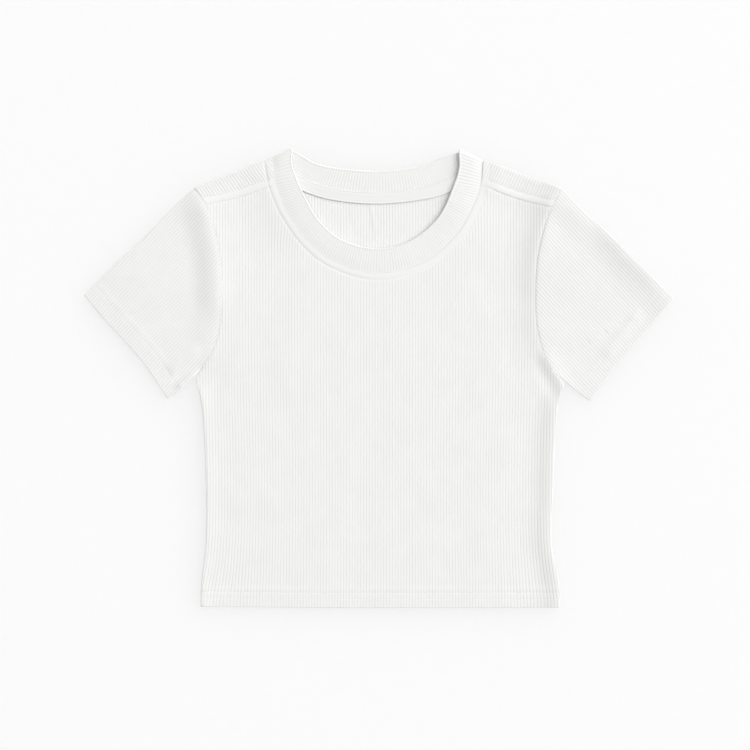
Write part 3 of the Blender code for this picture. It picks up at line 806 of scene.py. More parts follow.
RIGHT = Side(
    hand=Hand.RIGHT,
    fold=((102.5, 211.5), (132, 201), (176.5, 184.5)),
    shoulder_seam=((99, 187.5), (134, 174.5), (167.0, 165.8)),
    armhole=(
        (176.5, 184.5), (167.5, 167), (161, 149), (154.5, 122), (152, 96), (152, 61), (156, 36),
        (163.5, 15), (170.5, 4.5),
    ),
    body_edge=(
        (170.5, 4.5), (176.5, -1.5), (179.5, -7), (176, -16), (172, -44), (169, -109),
        (167.3, -160), (171.5, -184), (175.5, -204), (175.5, -223.3),
    ),
    sleeve_top=((176.5, 184.5), (196, 165), (227, 136.5), (259, 104), (286.5, 78)),
    cuff=((286.5, 78), (262, 49), (236.5, 19.5), (221.5, 0), (205, -22.5)),
    sleeve_under=((205, -22.5), (189, -10.5), (180.5, -2.5), (170.5, 4.5)),
    strip_lean=24.8,
    sleeve_lean=-43.0,
    side_rise=(
        (0, 2.25), (2, 2.3), (4, 2.2), (6, 2.0), (10, 1.35), (14, 0.6), (18, 0.15), (22, -0.15),
        (30, -0.3), (50, -0.1), (75, 0),
    ),
    front_shoulder_rise=((0, 0.65), (1.5, 0.75), (4, 0.55), (8, 0.2), (12, 0.03), (16, 0)),
    neck_strip_rise=((0, 0.3), (1, 0.38), (2.5, 0.4), (6, 0.34), (14, 0.15), (25, 0)),
    body_head=(
        (0, 2.85), (1, 2.8), (2, 2.75), (4, 2.5), (8, 1.75), (12, 1.0), (16, 0.42), (20, 0.05),
        (24, -0.2), (32, -0.45), (50, -0.3), (75, 0),
    ),
    sleeve_head=(
        (0, 3.1), (0.6, 3.2), (1.6, 3.4), (3, 3.5), (6, 3.5), (20, 3.1), (40, 2.8), (90, 2.3),
        (120, 2.1),
    ),
    head_strength=(
        (0, 1.1), (0.08, 1.3), (0.3, 1.3), (0.45, 1.1), (0.6, 0.8), (0.85, 0.5), (1, 0.15),
    ),
    sleeve_top_rise=(
        (0, 2.1), (5, 2.1), (8, 1.95), (12, 1.55), (16, 1.1), (20, 0.7), (24, 0.35), (28, 0.1),
        (36, -0.1), (60, 0),
    ),
    sleeve_creases=(
        Crease(RIGHT_UNDERARM, 9.0, 1.0, 0.25),
        Crease(((208, 156), (262, 103), (286, 79)), 13.0, 1.7),
        Crease(((257, 66), (236, 42), (216, 17)), 6.0, 0.9, 0.2),
    ),
    body_ditch=0.0,
    sleeve_ditch=1.6,
    shoulder_lift=1.0,
    neck_lift=0.95,
    neck_stitch_depth=0.05,
)
SIDES = (LEFT, RIGHT)

HEM = ((-173.5, -222.3), (-47.5, -223.5), (175.5, -223.3))
HEM_LEVEL = HEM[1][1]
NECK_SEAM = (
    (-106, 214), (-101, 187.5), (-90, 161), (-68.5, 131), (-43.5, 112.5), (-3, 101.5), (43, 112),
    (77, 141), (93.5, 171), (99, 187.5), (102.5, 211.5),
)
BACK_NECK_SEAM = (
    (-106, 214), (-93, 200.5), (-75, 188.5), (-46, 179), (-1, 175), (47, 180), (67, 186.5),
    (88, 199), (102.5, 211.5),
)
FRONT_EDGE = (
    (-85, 223.5), (-85, 210.5), (-81, 197), (-73.5, 179.5), (-58.5, 153.5), (-36, 134.5),
    (-2.5, 126), (30, 133.5), (57.5, 156.5), (72.5, 187.5), (77.5, 205), (78.5, 222.5),
)
BACK_EDGE = (
    (-85, 223.5), (-77, 217.5), (-61.5, 209), (-42, 204.5), (-3, 201.3), (22, 203), (44.5, 207.5),
    (62, 214.5), (78.5, 222.5),
)
# The part of the back's inside that the neck shows
NECK_WINDOW = (
    (-74, 184), (-46, 175), (-1, 171), (47, 176), (65, 182), (68, 172), (60, 152), (33, 130),
    (-2.5, 121), (-38, 130), (-62, 149), (-76, 171),
)

ARMHOLE_DITCH = ((0, -0.25), (0.8, -0.05), (1.6, 0))
SHOULDER_STRIP_RISE = ((0, 0.28), (1.6, 0.32), (4.6, 0.28), (5.8, 0.12), (7, 0.04), (12, 0))
FRONT_CREASES = (
    Crease(RIGHT_UNDERARM, 7.5, 1.9, 0.25),
    Crease(((148, 26), (156.8, 7.4), (169.7, -16.1), (173, -36)), 6.0, -0.5),
    Crease(((-148, 18), (-158, -6), (-160, -38)), 8.0, -0.25),
    Crease(((-118, 92), (-96, 40), (-88, -30)), 15.0, 0.2),
    Crease(((60, 70), (84, 10), (80, -60)), 17.0, -0.18),
    Crease(((-30, 60), (-24, -30), (-40, -120)), 13.0, 0.17),
    Crease(((28, -60), (22, -130), (34, -196)), 11.0, -0.15),
    Crease(((-110, -90), (-104, -150), (-112, -200)), 12.0, 0.17),
    Crease(((104, -80), (98, -140), (108, -198)), 10.0, 0.15),
)
BACK_CREASES = (
    Crease(((-13, 176), (-12, 160), (-8, 142)), 6.0, -0.14, 0.1),
    Crease(((-8, 176), (-7, 160), (-3.6, 142)), 1.8, 0.22, 0.1),
)


# Shapes that pieces share


def hem_share(spots: Spots) -> Values:
    """How far the body's cloth is onto its hem, from 0 to 1."""
    top = HEM_LEVEL + HEM_DEPTH
    return 1 - ramp(spots[:, 1], top, top + HEM_RAMP)


def panel_thickness(spots: Spots) -> Values:
    """The thickness of the body's cloth, which its hem doubles."""
    return PLY + (HEM_THICKNESS - PLY) * hem_share(spots)


@dataclass(frozen=True)
class NeckForm:
    """How the cloth stands up round the neck, which differs from left to right."""

    lift_starts: Span = (110, 160)  # along Y
    lift_eases: Span = (196, 212)
    eased_part: float = 0.6
    lift_reach: float = 42.0
    change: Span = (-25.0, 60.0)  # along X, where the left's strip becomes the right's

    def lift(self, spots: Spots, at_neck: Values | float) -> Values:
        """How far the seams piled up on the shoulders hold the cloth up.

        Args:
            spots: the places.
            at_neck: how far each place is from the neck seam.

        Returns:
            The height at each place.
        """
        most = np.where(spots[:, 0] < 0, LEFT.neck_lift, RIGHT.neck_lift)
        eased = 1 - self.eased_part * ramp(spots[:, 1], *self.lift_eases)
        up = ramp(spots[:, 1], *self.lift_starts) * eased
        return most * up * (1 - ramp(np.asarray(at_neck), 0, self.lift_reach))

    def across(self, spots: Spots, left: Values | float, right: Values | float) -> Values:
        """What is the left's value on the left and turns into the right's."""
        share = ramp(spots[:, 0], *self.change)
        return (1 - share) * left + share * right

    def strip_rise(self, spots: Spots, at_neck: Values) -> Values:
        """How far the seam allowance holds the cloth up beside the neck seam."""
        left, right = (looked_up(side.neck_strip_rise, at_neck) for side in SIDES)
        return self.across(spots, left, right)

    def stitched(self, spots: Spots, at_neck: Values, part: Values | float = 1.0) -> Values:
        """How far the stitches beside the neck seam pull the cloth in, or a part of that."""
        depth = self.across(spots, LEFT.neck_stitch_depth, RIGHT.neck_stitch_depth)
        return groove(at_neck - TOPSTITCH, depth * part, TOPSTITCH_WIDTH)


NECK_FORM = NeckForm()


def head(side: Side, rise: Table, ditch: float, spots: Spots) -> Values:
    """How far the cloth stands up beside a side's armhole seam.

    Args:
        side: the side.
        rise: the heights at distances from the seam.
        ditch: how much of the seam's ditch there is.
        spots: the places.

    Returns:
        The height at each place.
    """
    gap, share = nearest(smooth(side.armhole), spots)
    part = looked_up(side.head_strength, share)
    return part * looked_up(rise, gap) + ditch * looked_up(ARMHOLE_DITCH, gap)


# Sewing


# A twin needle's rows: their heights above a hem's edge, and how far they pull the cloth in
NEEDLE_ROWS = ((14.4, 0.2), (8.0, 0.07))


def needled(above: Values, part: float = 1.0) -> Values:
    """How far the twin needle's rows pull the cloth in above a hem's edge, or a part of that."""
    return sum(groove(above - height, depth * part) for height, depth in NEEDLE_ROWS)


@dataclass(frozen=True)
class StitchRow:
    """One row of machine stitches, each a short thread that dips at its two ends."""

    name: str
    path: Line
    level: Callable[[Spots], Values]
    pitch: float = 2.6
    length: float = 1.9
    radius: float = 0.19
    sides: int = 6
    # Its rings: shares of its half length along, and of its radius up and across
    profile: Sequence[tuple[float, float, float]] = (
        (-1.0, -0.8, 0.4), (-0.6, 0.3, 1.0), (0.6, 0.3, 1.0), (1.0, -0.8, 0.4),
    )
    lead: float = 0.4  # of a stitch's pitch, from its middle to where its way is measured

    def build(self) -> bpy.types.Object:
        """Makes the row's stitches.

        Returns:
            The row's object.
        """
        count = int(lengths(self.path)[-1] / self.pitch)
        middles = along(self.path, (np.arange(count) + 0.5) / count)
        ways = along(self.path, (np.arange(count) + 0.5 + self.lead) / count) - middles
        ways /= np.linalg.norm(ways, axis=1, keepdims=True)
        points = [
            point
            for middle, way, level in zip(middles, ways, self.level(middles))
            for point in self.stitch(middle, way, level)
        ]
        size = self.sides * len(self.profile)
        stitches = range(0, len(points), size)
        faces = [[first + i for i in face] for first in stitches for face in self.faces()]
        piece = mesh_object(self.name, np.array(points), faces, np.zeros((len(points), 3)))
        piece.data.shade_smooth()
        return piece

    def stitch(self, middle: Line, way: Line, level: float) -> list[tuple[float, ...]]:
        """The points of one stitch, ring by ring.

        Args:
            middle: the stitch's middle.
            way: the way that the row runs there.
            level: the cloth's level there.

        Returns:
            The points.
        """
        side = np.array([-way[1], way[0]])
        points = []
        for ahead, height, width in self.profile:
            spot = middle + way * (self.length / 2) * ahead
            for angle in np.arange(self.sides) * math.tau / self.sides:
                out = side * math.cos(angle) * self.radius * width
                up = math.sin(angle) * self.radius * width
                points.append((*(spot + out), level + height * self.radius + up))
        return points

    def faces(self) -> list[list[int]]:
        """The faces of one stitch.

        Returns:
            The faces, as numbers of points.
        """
        rings = [range(i * self.sides, (i + 1) * self.sides) for i in range(len(self.profile))]
        faces = [
            [low[j], low[k], high[k], high[j]]
            for low, high in zip(rings, rings[1:])
            for j, k in zip(range(self.sides), [*range(1, self.sides), 0])
        ]
        return [*faces, list(reversed(rings[0])), list(rings[-1])]


# The body


@dataclass(frozen=True)
class Cut:
    """What shows of a piece, as it was cut: its width, length and area in metres."""

    width: float
    length: float
    area: float


@dataclass
class ClothPiece:
    """A piece of cloth that lies flat. Each kind sets its outline when it is made."""

    name: str
    node: str
    cut: Cut
    slot: str = "rib_knit"
    grain: Grain = Grain()
    outline: Line = field(init=False)

    def faces(self) -> tuple[Face, Face]:
        """The upper and the lower face."""
        raise NotImplementedError

    def strength(self, spots: Spots) -> Values:
        """How strongly the ribs stand at each place."""
        return ramp(distance_to(closed(self.outline), spots), 0, RIB_END)

    def weave(self, spots: Spots) -> np.ndarray:
        """The count of ribs, the run along them in millimetres and the ribs' strength."""
        run = spots @ self.grain.direction
        return np.column_stack([self.grain.count(spots), run, self.strength(spots)])

    def build(self) -> bpy.types.Object:
        """Makes the piece."""
        return wall(self.name, self.outline, *self.faces(), self.weave)


@dataclass
class FrontPanel(ClothPiece):
    """The front, from the forward shoulder seams to the hem."""

    name: str = "front_cloth"
    node: str = "front"
    cut: Cut = Cut(0.359, 0.430, 0.125)
    grain: Grain = Grain(
        drifts=(
            Drift((-176, -226), (40, 42), -8.0),
            Drift((178, -226), (36, 42), 7.0),
            Drift((-84, 158), (15, 22), 3.0),
            Drift((84, 158), (15, 22), -1.5),
            Drift((-150, -110), (80, 90), 2.2),
            Drift((150, -110), (80, 90), -2.2),
        )
    )
    reach: Span = (HEM_LEVEL, 190)
    strip: float = TOPSTITCH + 1.2  # beside the neck, where the mesh has no ribs
    hem_loft: float = 0.4  # the part of the loft that is left at the hem
    loft_reach: float = 60
    side_starts: Span = (0, 24)  # down from the middle
    shoulder_starts: Span = (2, 8)  # from the neck seam
    side_calm: float = 8  # from the sides, over which the swells die away
    neck_calm: Span = (8, 20)
    hem_calm: float = 0.7
    lowest: float = -0.5
    turn: float = 5.0  # the run over which it turns down to the back at its sides

    def __post_init__(self) -> None:
        """Draws the lines that the front shares with its neighbours."""
        self.hem = smooth(HEM)
        self.sides = [smooth(side.body_edge) for side in SIDES]
        self.seams = [smooth(side.shoulder_seam) for side in SIDES]
        neck = smooth(NECK_SEAM)
        self.neck = neck[neck[:, 1] < LEFT.shoulder_seam[0][1] - CORNER_CLEARANCE]
        self.armholes = []
        for side, seam in zip(SIDES, self.seams):
            line = smooth(side.armhole)
            below = line[line[:, 1] < seam[-1, 1] - CORNER_CLEARANCE]
            self.armholes.append(np.vstack([seam[-1:], below]))
        self.outline = trimmed(self.around(self.neck, self.seams), SEWN_GAP / 2)

    def around(self, neck: Line, seams: Sequence[Line]) -> Line:
        """The front's edges with a neckline and two shoulder seams."""
        left, right = (np.vstack(parts) for parts in zip(seams, self.armholes, self.sides))
        return joined(self.hem, right[::-1], neck[::-1], left)

    def faces(self) -> tuple[Face, Face]:
        """The upper face, with lines along its ribs, stitches and edges, and the lower one.

        Returns:
            The two faces.
        """
        area = trimmed(self.outline, LINE_CLEARANCE)
        seams = [seam[distance_to(self.neck, seam) > self.strip] for seam in self.seams]
        ribbed = trimmed(self.around(beside(self.neck, -self.strip), seams), RIB_END)
        lines = self.grain.columns(ribbed, self.reach)
        lines += lines_beside(self.hem, HEM_ROWS, area)
        lines += lines_beside(self.neck, STRIP_ROWS, area, -1)
        for side, edge in zip(SIDES, self.sides):
            lines += lines_beside(edge, FRONT_SIDE_ROWS, area, side.sign)
        points = scattered(trimmed(self.outline, POINT_CLEARANCE))
        return Face(self.upper, lines), Face(self.lower, points)

    def form(self, spots: Spots) -> Values:
        """How the cloth stands up off its level, apart from its ribs.

        Args:
            spots: the places.

        Returns:
            The height at each place.
        """
        at_neck, above = distance_to(self.neck, spots), distance_to(self.hem, spots)
        height = (HEM_THICKNESS - PLY) * hem_share(spots)
        height += LOFT * (self.hem_loft + (1 - self.hem_loft) * ramp(above, 0, self.loft_reach))
        for side, line, seam in zip(SIDES, self.sides, self.seams):
            at_side, at_seam = distance_to(line, spots), distance_to(seam, spots)
            height += looked_up(side.side_rise, at_side) * ramp(-spots[:, 1], *self.side_starts)
            height += head(side, side.body_head, side.body_ditch, spots)
            off_neck = ramp(at_neck, *self.shoulder_starts)
            height += looked_up(side.front_shoulder_rise, at_seam) * off_neck
        height += NECK_FORM.lift(spots, at_neck) + NECK_FORM.strip_rise(spots, at_neck)
        height += sum(crease.at(spots) for crease in FRONT_CREASES)
        calm = ramp(least_distance(self.sides, spots), 0, self.side_calm)
        calm *= ramp(at_neck, *self.neck_calm) * (1 - self.hem_calm * hem_share(spots))
        return height + swelling(spots) * calm

    def strength(self, spots: Spots) -> Values:
        """How strongly the ribs stand at each place."""
        return super().strength(spots) * ramp(distance_to(self.neck, spots), *PAST_TOPSTITCH)

    def upper(self, spots: Spots) -> Values:
        """The upper face's level.

        Args:
            spots: the places.

        Returns:
            The level at each place.
        """
        edge, above = least_distance(self.sides, spots), distance_to(self.hem, spots)
        thick = panel_thickness(spots)
        outside = PLY + RIB_HEIGHT * self.strength(spots) * self.grain.relief(spots)
        outside += needled(above) + NECK_FORM.stitched(spots, distance_to(self.neck, spots))
        outside -= rounding(edge, 2 * thick) + rounding(above, thick)
        return FRONT_LEVEL + np.maximum(self.form(spots), self.lowest) + outside

    def lower(self, spots: Spots) -> Values:
        """The lower face's level, which comes down to the back at the sides."""
        turned = ramp(least_distance(self.sides, spots), 0, self.turn)
        return FRONT_LEVEL + np.maximum(self.form(spots), 0.0) * turned

    def stitch_rows(self) -> list[StitchRow]:
        """The twin needle's rows along the hem, and the row beside the neck.

        Returns:
            The rows.
        """
        area = trimmed(self.outline, CORNER_CLEARANCE)
        rows = [
            StitchRow(f"hem_stitches_{number}", part, self.upper)
            for number, (height, _) in enumerate(NEEDLE_ROWS, 1)
            for part in lines_beside(self.hem, [height], area)
        ]
        neck = lines_beside(self.neck, [TOPSTITCH], area, -1)[0]
        return [*rows, StitchRow("neck_stitches", neck, self.upper)]


@dataclass
class Shoulder:
    """A shoulder of the back, which folds forward onto the front side."""

    side: Side
    reach: Span = (60, 260)
    strip: float = 6.4  # beside its seam, where its ribs are sewn flat
    rib_height: float = 0.18  # more than elsewhere, because it stretches less
    stitch_depth: float = 0.07
    top: Span = (0, 6)  # from the fold, over which the neck's strip dies away
    off_neck: Span = (3, TOPSTITCH)
    on_strip: Span = (-0.3, 1.5)  # in from the rim
    tilt: float = 0.035  # up towards the fold
    swell: float = 0.5  # the part of the swells that it follows
    lift_reach: Span = (3.0, 18.0)  # from the neck seam
    drawn_in: float = 0.95  # by which the neckband turns over inside its seam
    hollow_depth: float = 45.0
    hollow_overrun: float = 6.0
    hollow_lift: float = 0.8  # the part of the neck's lift that its ceiling follows
    stitch_end: float = 1.0
    folded: float = FRONT_LEVEL + LOFT + CAVITY_CLEARANCE + PLY  # its upper face's level

    def __post_init__(self) -> None:
        """Draws the strip between the fold and the seam."""
        side = self.side
        self.neck, self.seam, self.fold = map(smooth, (NECK_SEAM, side.shoulder_seam, side.fold))
        self.grain = Grain(lean=side.strip_lean)
        neck = self.neck[np.sign(self.neck[:, 0]) == -side.sign]
        neck = neck[neck[:, 1] > self.seam[0, 1] + CORNER_CLEARANCE]
        neck = neck[np.argsort(neck[:, 1])]
        drawn_in = self.drawn_in * ramp(neck[:, 1], self.seam[0, 1], neck[-1, 1])
        neck = neck + side.sign * drawn_in[:, None] * np.array([1.0, 0.0])
        armhole = smooth(side.armhole)
        armhole = armhole[armhole[:, 1] > self.seam[-1, 1] + CORNER_CLEARANCE]
        around = joined(self.fold, armhole, self.seam[::-1], neck)
        self.outline = trimmed(around, SEWN_GAP / 2)
        self.raised = trimmed(self.outline, -STEP / 2)

    def lines(self) -> list[Line]:
        """The lines that guide the strip's mesh.

        Returns:
            The lines.
        """
        area, sign = trimmed(self.outline, RIB_END), self.side.sign
        return [
            closed(self.outline),
            closed(trimmed(self.outline, -STEP)),
            *self.grain.columns(area, self.reach),
            *lines_beside(self.seam, STRIP_ROWS, area, -sign),
            *lines_beside(self.neck, STRIP_ROWS, area, -1),
            *lines_beside(self.fold, FOLD_ROWS, area, sign),
        ]

    def upper(self, spots: Spots) -> Values:
        """The upper face's level on the strip.

        Args:
            spots: the places.

        Returns:
            The level at each place.
        """
        side = self.side
        at_seam, at_fold = distance_to(self.seam, spots), distance_to(self.fold, spots)
        at_rim, at_neck = distance_to(closed(self.raised), spots), distance_to(self.neck, spots)
        strength = ramp(at_seam, self.strip, self.strip + 1) * ramp(at_rim, 0, RIB_END)
        strength = strength * ramp(at_neck, *PAST_TOPSTITCH)
        height = self.rib_height * strength * self.grain.relief(spots)
        below_top, off_neck = ramp(at_fold, *self.top), ramp(at_neck, *self.off_neck)
        height += groove(at_seam - TOPSTITCH, self.stitch_depth) * off_neck
        height += NECK_FORM.stitched(spots, at_neck, below_top)
        on_strip = ramp(at_rim, *self.on_strip)
        height += looked_up(SHOULDER_STRIP_RISE, at_seam) * on_strip * off_neck
        height += NECK_FORM.strip_rise(spots, at_neck) * below_top
        height += self.tilt * at_seam + self.swell * swelling(spots)
        height += side.shoulder_lift * ramp(at_neck, *self.lift_reach)
        height += head(side, side.body_head, side.body_ditch, spots)
        height += NECK_FORM.lift(spots, at_neck)
        return self.folded + height - rounding(at_fold, self.folded)

    def hollow(self, floor: Callable[[Spots], Values]) -> bpy.types.Object:
        """Makes the shape of the space under the strip, above a floor.

        Args:
            floor: gives the floor's level at each place.

        Returns:
            The shape, to be taken out of the back.
        """
        edge = beside(self.fold, self.side.sign * FOLD_WALL)
        edge = lengthened(edge, self.hollow_overrun)
        outline = joined(edge, edge[::-1] - np.array([0, self.hollow_depth]))
        return wall("shoulder_hollow", outline, Face(self.ceiling), Face(floor))

    def ceiling(self, spots: Spots) -> Values:
        """The level of the strip's underside."""
        lift = NECK_FORM.lift(spots, distance_to(self.neck, spots))
        return self.folded - PLY + self.hollow_lift * lift

    def stitch_row(self) -> StitchRow:
        """The row of stitches beside the shoulder seam.

        Returns:
            The row.
        """
        area = trimmed(self.outline, self.stitch_end)
        path = lines_beside(self.seam, [TOPSTITCH], area, -self.side.sign)[0]
        return StitchRow(f"shoulder_stitches_{self.side.hand.name.lower()}", path, self.upper)


@dataclass
class BackPanel(ClothPiece):
    """The back, with its inside up, and its two shoulders folded forward over it."""

    name: str = "back_cloth"
    node: str = "back"
    cut: Cut = Cut(0.359, 0.470, 0.142)
    window_reach: Span = (110, 200)
    clearances: Span = (4.0, 5.0)  # of the points inside its upper and its lower face

    def __post_init__(self) -> None:
        """Draws the back's lines and its shoulders."""
        self.shoulders = [Shoulder(side) for side in SIDES]
        self.sides = [smooth(side.body_edge) for side in SIDES]
        left, right = (
            np.vstack([shoulder.fold, smooth(shoulder.side.armhole), edge])
            for shoulder, edge in zip(self.shoulders, self.sides)
        )
        around = joined(smooth(HEM), right[::-1], smooth(BACK_NECK_SEAM)[::-1], left)
        self.outline = trimmed(around, SEWN_GAP / 2)
        self.window = joined(smooth((*NECK_WINDOW, NECK_WINDOW[0])))

    def faces(self) -> tuple[Face, Face]:
        """The upper face, with lines along the ribs that show, and the lower one.

        Returns:
            The two faces.
        """
        inner, outer = (trimmed(self.outline, clearance) for clearance in self.clearances)
        lines = [
            closed(self.window),
            *scattered(inner, BACK_STEP),
            *self.grain.columns(trimmed(self.window, RIB_END), self.window_reach),
            *(smooth(crease.path) for crease in BACK_CREASES),
            *(line for shoulder in self.shoulders for line in shoulder.lines()),
        ]
        area, round_edges = trimmed(self.outline, LINE_CLEARANCE), []
        for edges in (self.sides, [shoulder.fold for shoulder in self.shoulders]):
            for side, edge in zip(SIDES, edges):
                round_edges += lines_beside(edge, BACK_SIDE_ROWS, area, side.sign)
        under = [*scattered(outer, BACK_STEP), *round_edges]
        return Face(self.upper, lines), Face(self.lower, under)

    def inside_up(self, spots: Spots) -> Values:
        """The level of the inside, which shows in the neck.

        Args:
            spots: the places.

        Returns:
            The level at each place.
        """
        level = panel_thickness(spots) + sum(crease.at(spots) for crease in BACK_CREASES)
        at_edge = distance_to(closed(self.window), spots)
        within = np.where(inside(self.window, spots), at_edge, 0)
        return level + INSIDE_RIB_HEIGHT * ramp(within, 0, RIB_END) * self.grain.relief(spots)

    def upper(self, spots: Spots) -> Values:
        """The upper face's level.

        Args:
            spots: the places.

        Returns:
            The level at each place.
        """
        level = self.inside_up(spots)
        for shoulder in self.shoulders:
            on_strip = inside(shoulder.raised, spots)
            level[on_strip] = shoulder.upper(spots[on_strip])
        return level

    def lower(self, spots: Spots) -> Values:
        """The lower face's level, flat but for its rounded edges.

        Args:
            spots: the places.

        Returns:
            The level at each place.
        """
        at_fold = least_distance([shoulder.fold for shoulder in self.shoulders], spots)
        at_side = rounding(least_distance(self.sides, spots), 2 * panel_thickness(spots))
        return np.maximum(rounding(at_fold, self.shoulders[0].folded), at_side)

    def weave(self, spots: Spots) -> np.ndarray:
        """The count of ribs, the run along them and their strength.

        Args:
            spots: the places.

        Returns:
            The three values for each place.
        """
        count, run = self.grain.count(spots), spots[:, 1].copy()
        for shoulder in self.shoulders:
            on_strip = inside(shoulder.raised, spots)
            count[on_strip] = shoulder.grain.count(spots[on_strip])
            run[on_strip] = spots[on_strip] @ shoulder.grain.direction
        at_seam = least_distance([shoulder.seam for shoulder in self.shoulders], spots)
        strip = self.shoulders[0].strip
        return np.column_stack([count, run, ramp(at_seam, strip, strip + 1)])

    def stitch_rows(self) -> list[StitchRow]:
        """The rows beside the shoulder seams."""
        return [shoulder.stitch_row() for shoulder in self.shoulders]

    def build(self) -> bpy.types.Object:
        """Makes the back, with a hollow under each folded shoulder.

        Returns:
            The back's object.
        """
        piece = super().build()
        for shoulder in self.shoulders:
            hollowed(piece, shoulder.hollow(self.hollow_floor))
        return piece

    def hollow_floor(self, spots: Spots) -> Values:
        """The level just over the back's inside."""
        return self.inside_up(spots) + CAVITY_CLEARANCE


# The sleeves


@dataclass
class Sleeve(ClothPiece):
    """A sleeve pressed flat: a tube folded along its top and sewn along its underside."""

    cut: Cut = Cut(0.345, 0.165, 0.033)
    side: Side = LEFT
    reach: Span = (-320, 320)
    cuff_thickness: float = 1.28
    belly: float = 0.3  # how high the middle of the tube stands
    belly_reach: float = 22
    head_reach: float = 45  # from the cuff and from the top, over which the head's rise grows
    head_at_top: float = 0.7
    swell_reach: float = 10
    least_gap: float = 0.12
    stitched: float = 0.5  # the part of a hem's stitching that its cuff is pulled in by
    hollow_overrun: float = 4.0
    hollow_step: float = 4.0

    def __post_init__(self) -> None:
        """Draws the sleeve's edges and finds the way its ribs run."""
        side = self.side
        self.top, self.cuff, self.under, self.armhole = map(
            smooth, (side.sleeve_top, side.cuff, side.sleeve_under, side.armhole)
        )
        around = joined(self.top, self.cuff, self.under, self.armhole[::-1])
        self.outline = trimmed(around, SEWN_GAP / 2)
        self.grain = Grain(lean=side.sleeve_lean)

    def faces(self) -> tuple[Face, Face]:
        """The upper face, with lines along its ribs, cuff and armhole, and the lower one.

        Returns:
            The two faces.
        """
        area, sign = trimmed(self.outline, LINE_CLEARANCE), self.side.sign
        folds = lines_beside(self.top, FOLD_ROWS, area, sign)
        folds += lines_beside(self.under, FOLD_ROWS, area, sign)
        lines = self.grain.columns(trimmed(self.outline, RIB_END), self.reach)
        lines += lines_beside(self.cuff, HEM_ROWS, area, sign)
        lines += lines_beside(self.armhole, ARMHOLE_ROWS, area, -sign)
        points = scattered(trimmed(self.outline, POINT_CLEARANCE))
        return Face(self.upper, lines + folds), Face(self.lower, points + folds)

    def layer(self, spots: Spots) -> Values:
        """The thickness of each layer, which the cuff's hem doubles."""
        onto_hem = 1 - ramp(distance_to(self.cuff, spots), HEM_DEPTH, HEM_DEPTH + HEM_RAMP)
        return PLY + (self.cuff_thickness - PLY) * onto_hem

    def form(self, spots: Spots) -> Values:
        """How the upper layer stands up off the lower one.

        Args:
            spots: the places.

        Returns:
            The height at each place.
        """
        side, at_top = self.side, distance_to(self.top, spots)
        edge = np.minimum(at_top, distance_to(self.under, spots))
        height = self.belly * ramp(edge, 0, self.belly_reach)
        above = ramp(distance_to(self.cuff, spots), 0, self.head_reach)
        down = self.head_at_top + (1 - self.head_at_top) * ramp(at_top, 0, self.head_reach)
        height += head(side, side.sleeve_head, side.sleeve_ditch, spots) * above * down
        height += swelling(spots) * ramp(edge, 0, self.swell_reach)
        height += sum(crease.at(spots) for crease in side.sleeve_creases)
        height += looked_up(side.sleeve_top_rise, at_top)
        return np.maximum(height, self.least_gap - SEAM_GAP)

    def upper(self, spots: Spots) -> Values:
        """The upper face's level.

        Args:
            spots: the places.

        Returns:
            The level at each place.
        """
        layer, above = self.layer(spots), distance_to(self.cuff, spots)
        full = 2 * layer + SEAM_GAP
        ribs = RIB_HEIGHT * self.strength(spots) * self.grain.relief(spots)
        folded = rounding(least_distance([self.top, self.under], spots), full)
        folded += rounding(above, layer)
        return full + self.form(spots) + ribs + needled(above, self.stitched) - folded

    def lower(self, spots: Spots) -> Values:
        """The lower face's level, flat but for its rounded edges."""
        edge = least_distance([self.top, self.under], spots)
        return rounding(edge, 2 * self.layer(spots) + SEAM_GAP)

    def stitch_rows(self) -> list[StitchRow]:
        """The twin needle's rows round the cuff.

        Returns:
            The rows.
        """
        area, name = trimmed(self.outline, CORNER_CLEARANCE), self.side.hand.name.lower()
        return [
            StitchRow(
                f"cuff_stitches_{name}_{number}",
                lines_beside(self.cuff, [height], area, self.side.sign)[0],
                self.upper,
            )
            for number, (height, _) in enumerate(NEEDLE_ROWS, 1)
        ]

    def build(self) -> bpy.types.Object:
        """Makes the sleeve, open at its cuff and its armhole.

        Returns:
            The sleeve's object.
        """
        sign = self.side.sign
        outline = joined(
            lengthened(beside(self.top, sign * FOLD_WALL), self.hollow_overrun / 2),
            beside(self.cuff, -sign * self.hollow_overrun)[1:-1],
            lengthened(beside(self.under, sign * FOLD_WALL), self.hollow_overrun / 2),
            beside(self.armhole[::-1], -sign * self.hollow_overrun)[1:-1],
        )
        guides = scattered(trimmed(outline, POINT_CLEARANCE), self.hollow_step)
        faces = Face(self.ceiling, guides), Face(self.layer, guides)
        return hollowed(super().build(), wall("sleeve_hollow", outline, *faces))

    def ceiling(self, spots: Spots) -> Values:
        """The level of the upper layer's underside."""
        return self.layer(spots) + SEAM_GAP + self.form(spots)


# The neck

# Across the neckband, at shares of its width from its seam to its free edge
BAND_SHARES = (
    0.003, 0.02, 0.05, 0.1, 0.17, 0.27, 0.38, 0.52, 0.67, 0.8, 0.88, 0.93, 0.955, 0.972, 0.984,
    0.993, 1.0,
)
BAND_THICKNESS = ((0.0, 1.25), (0.05, 1.3), (0.38, 1.75), (0.8, 1.95), (1.0, 1.95))
BAND_RIB_STRENGTH = ((0, 0), (0.05, 0.1), (0.12, 1), (0.9, 0.9), (0.97, 0.5), (1, 0.2))
BAND_BELLY = ((0, 0), (3, 0.05), (9, 0.12), (18, 0.1), (24, 0))
# How far its free edge stands up at shares of the way along the front's neck
BAND_STANDS = ((0, 0.2), (0.12, 0.3), (0.3, 0.2), (0.62, 0.3), (0.78, 0.6), (0.92, 1.15), (1, 1.0))


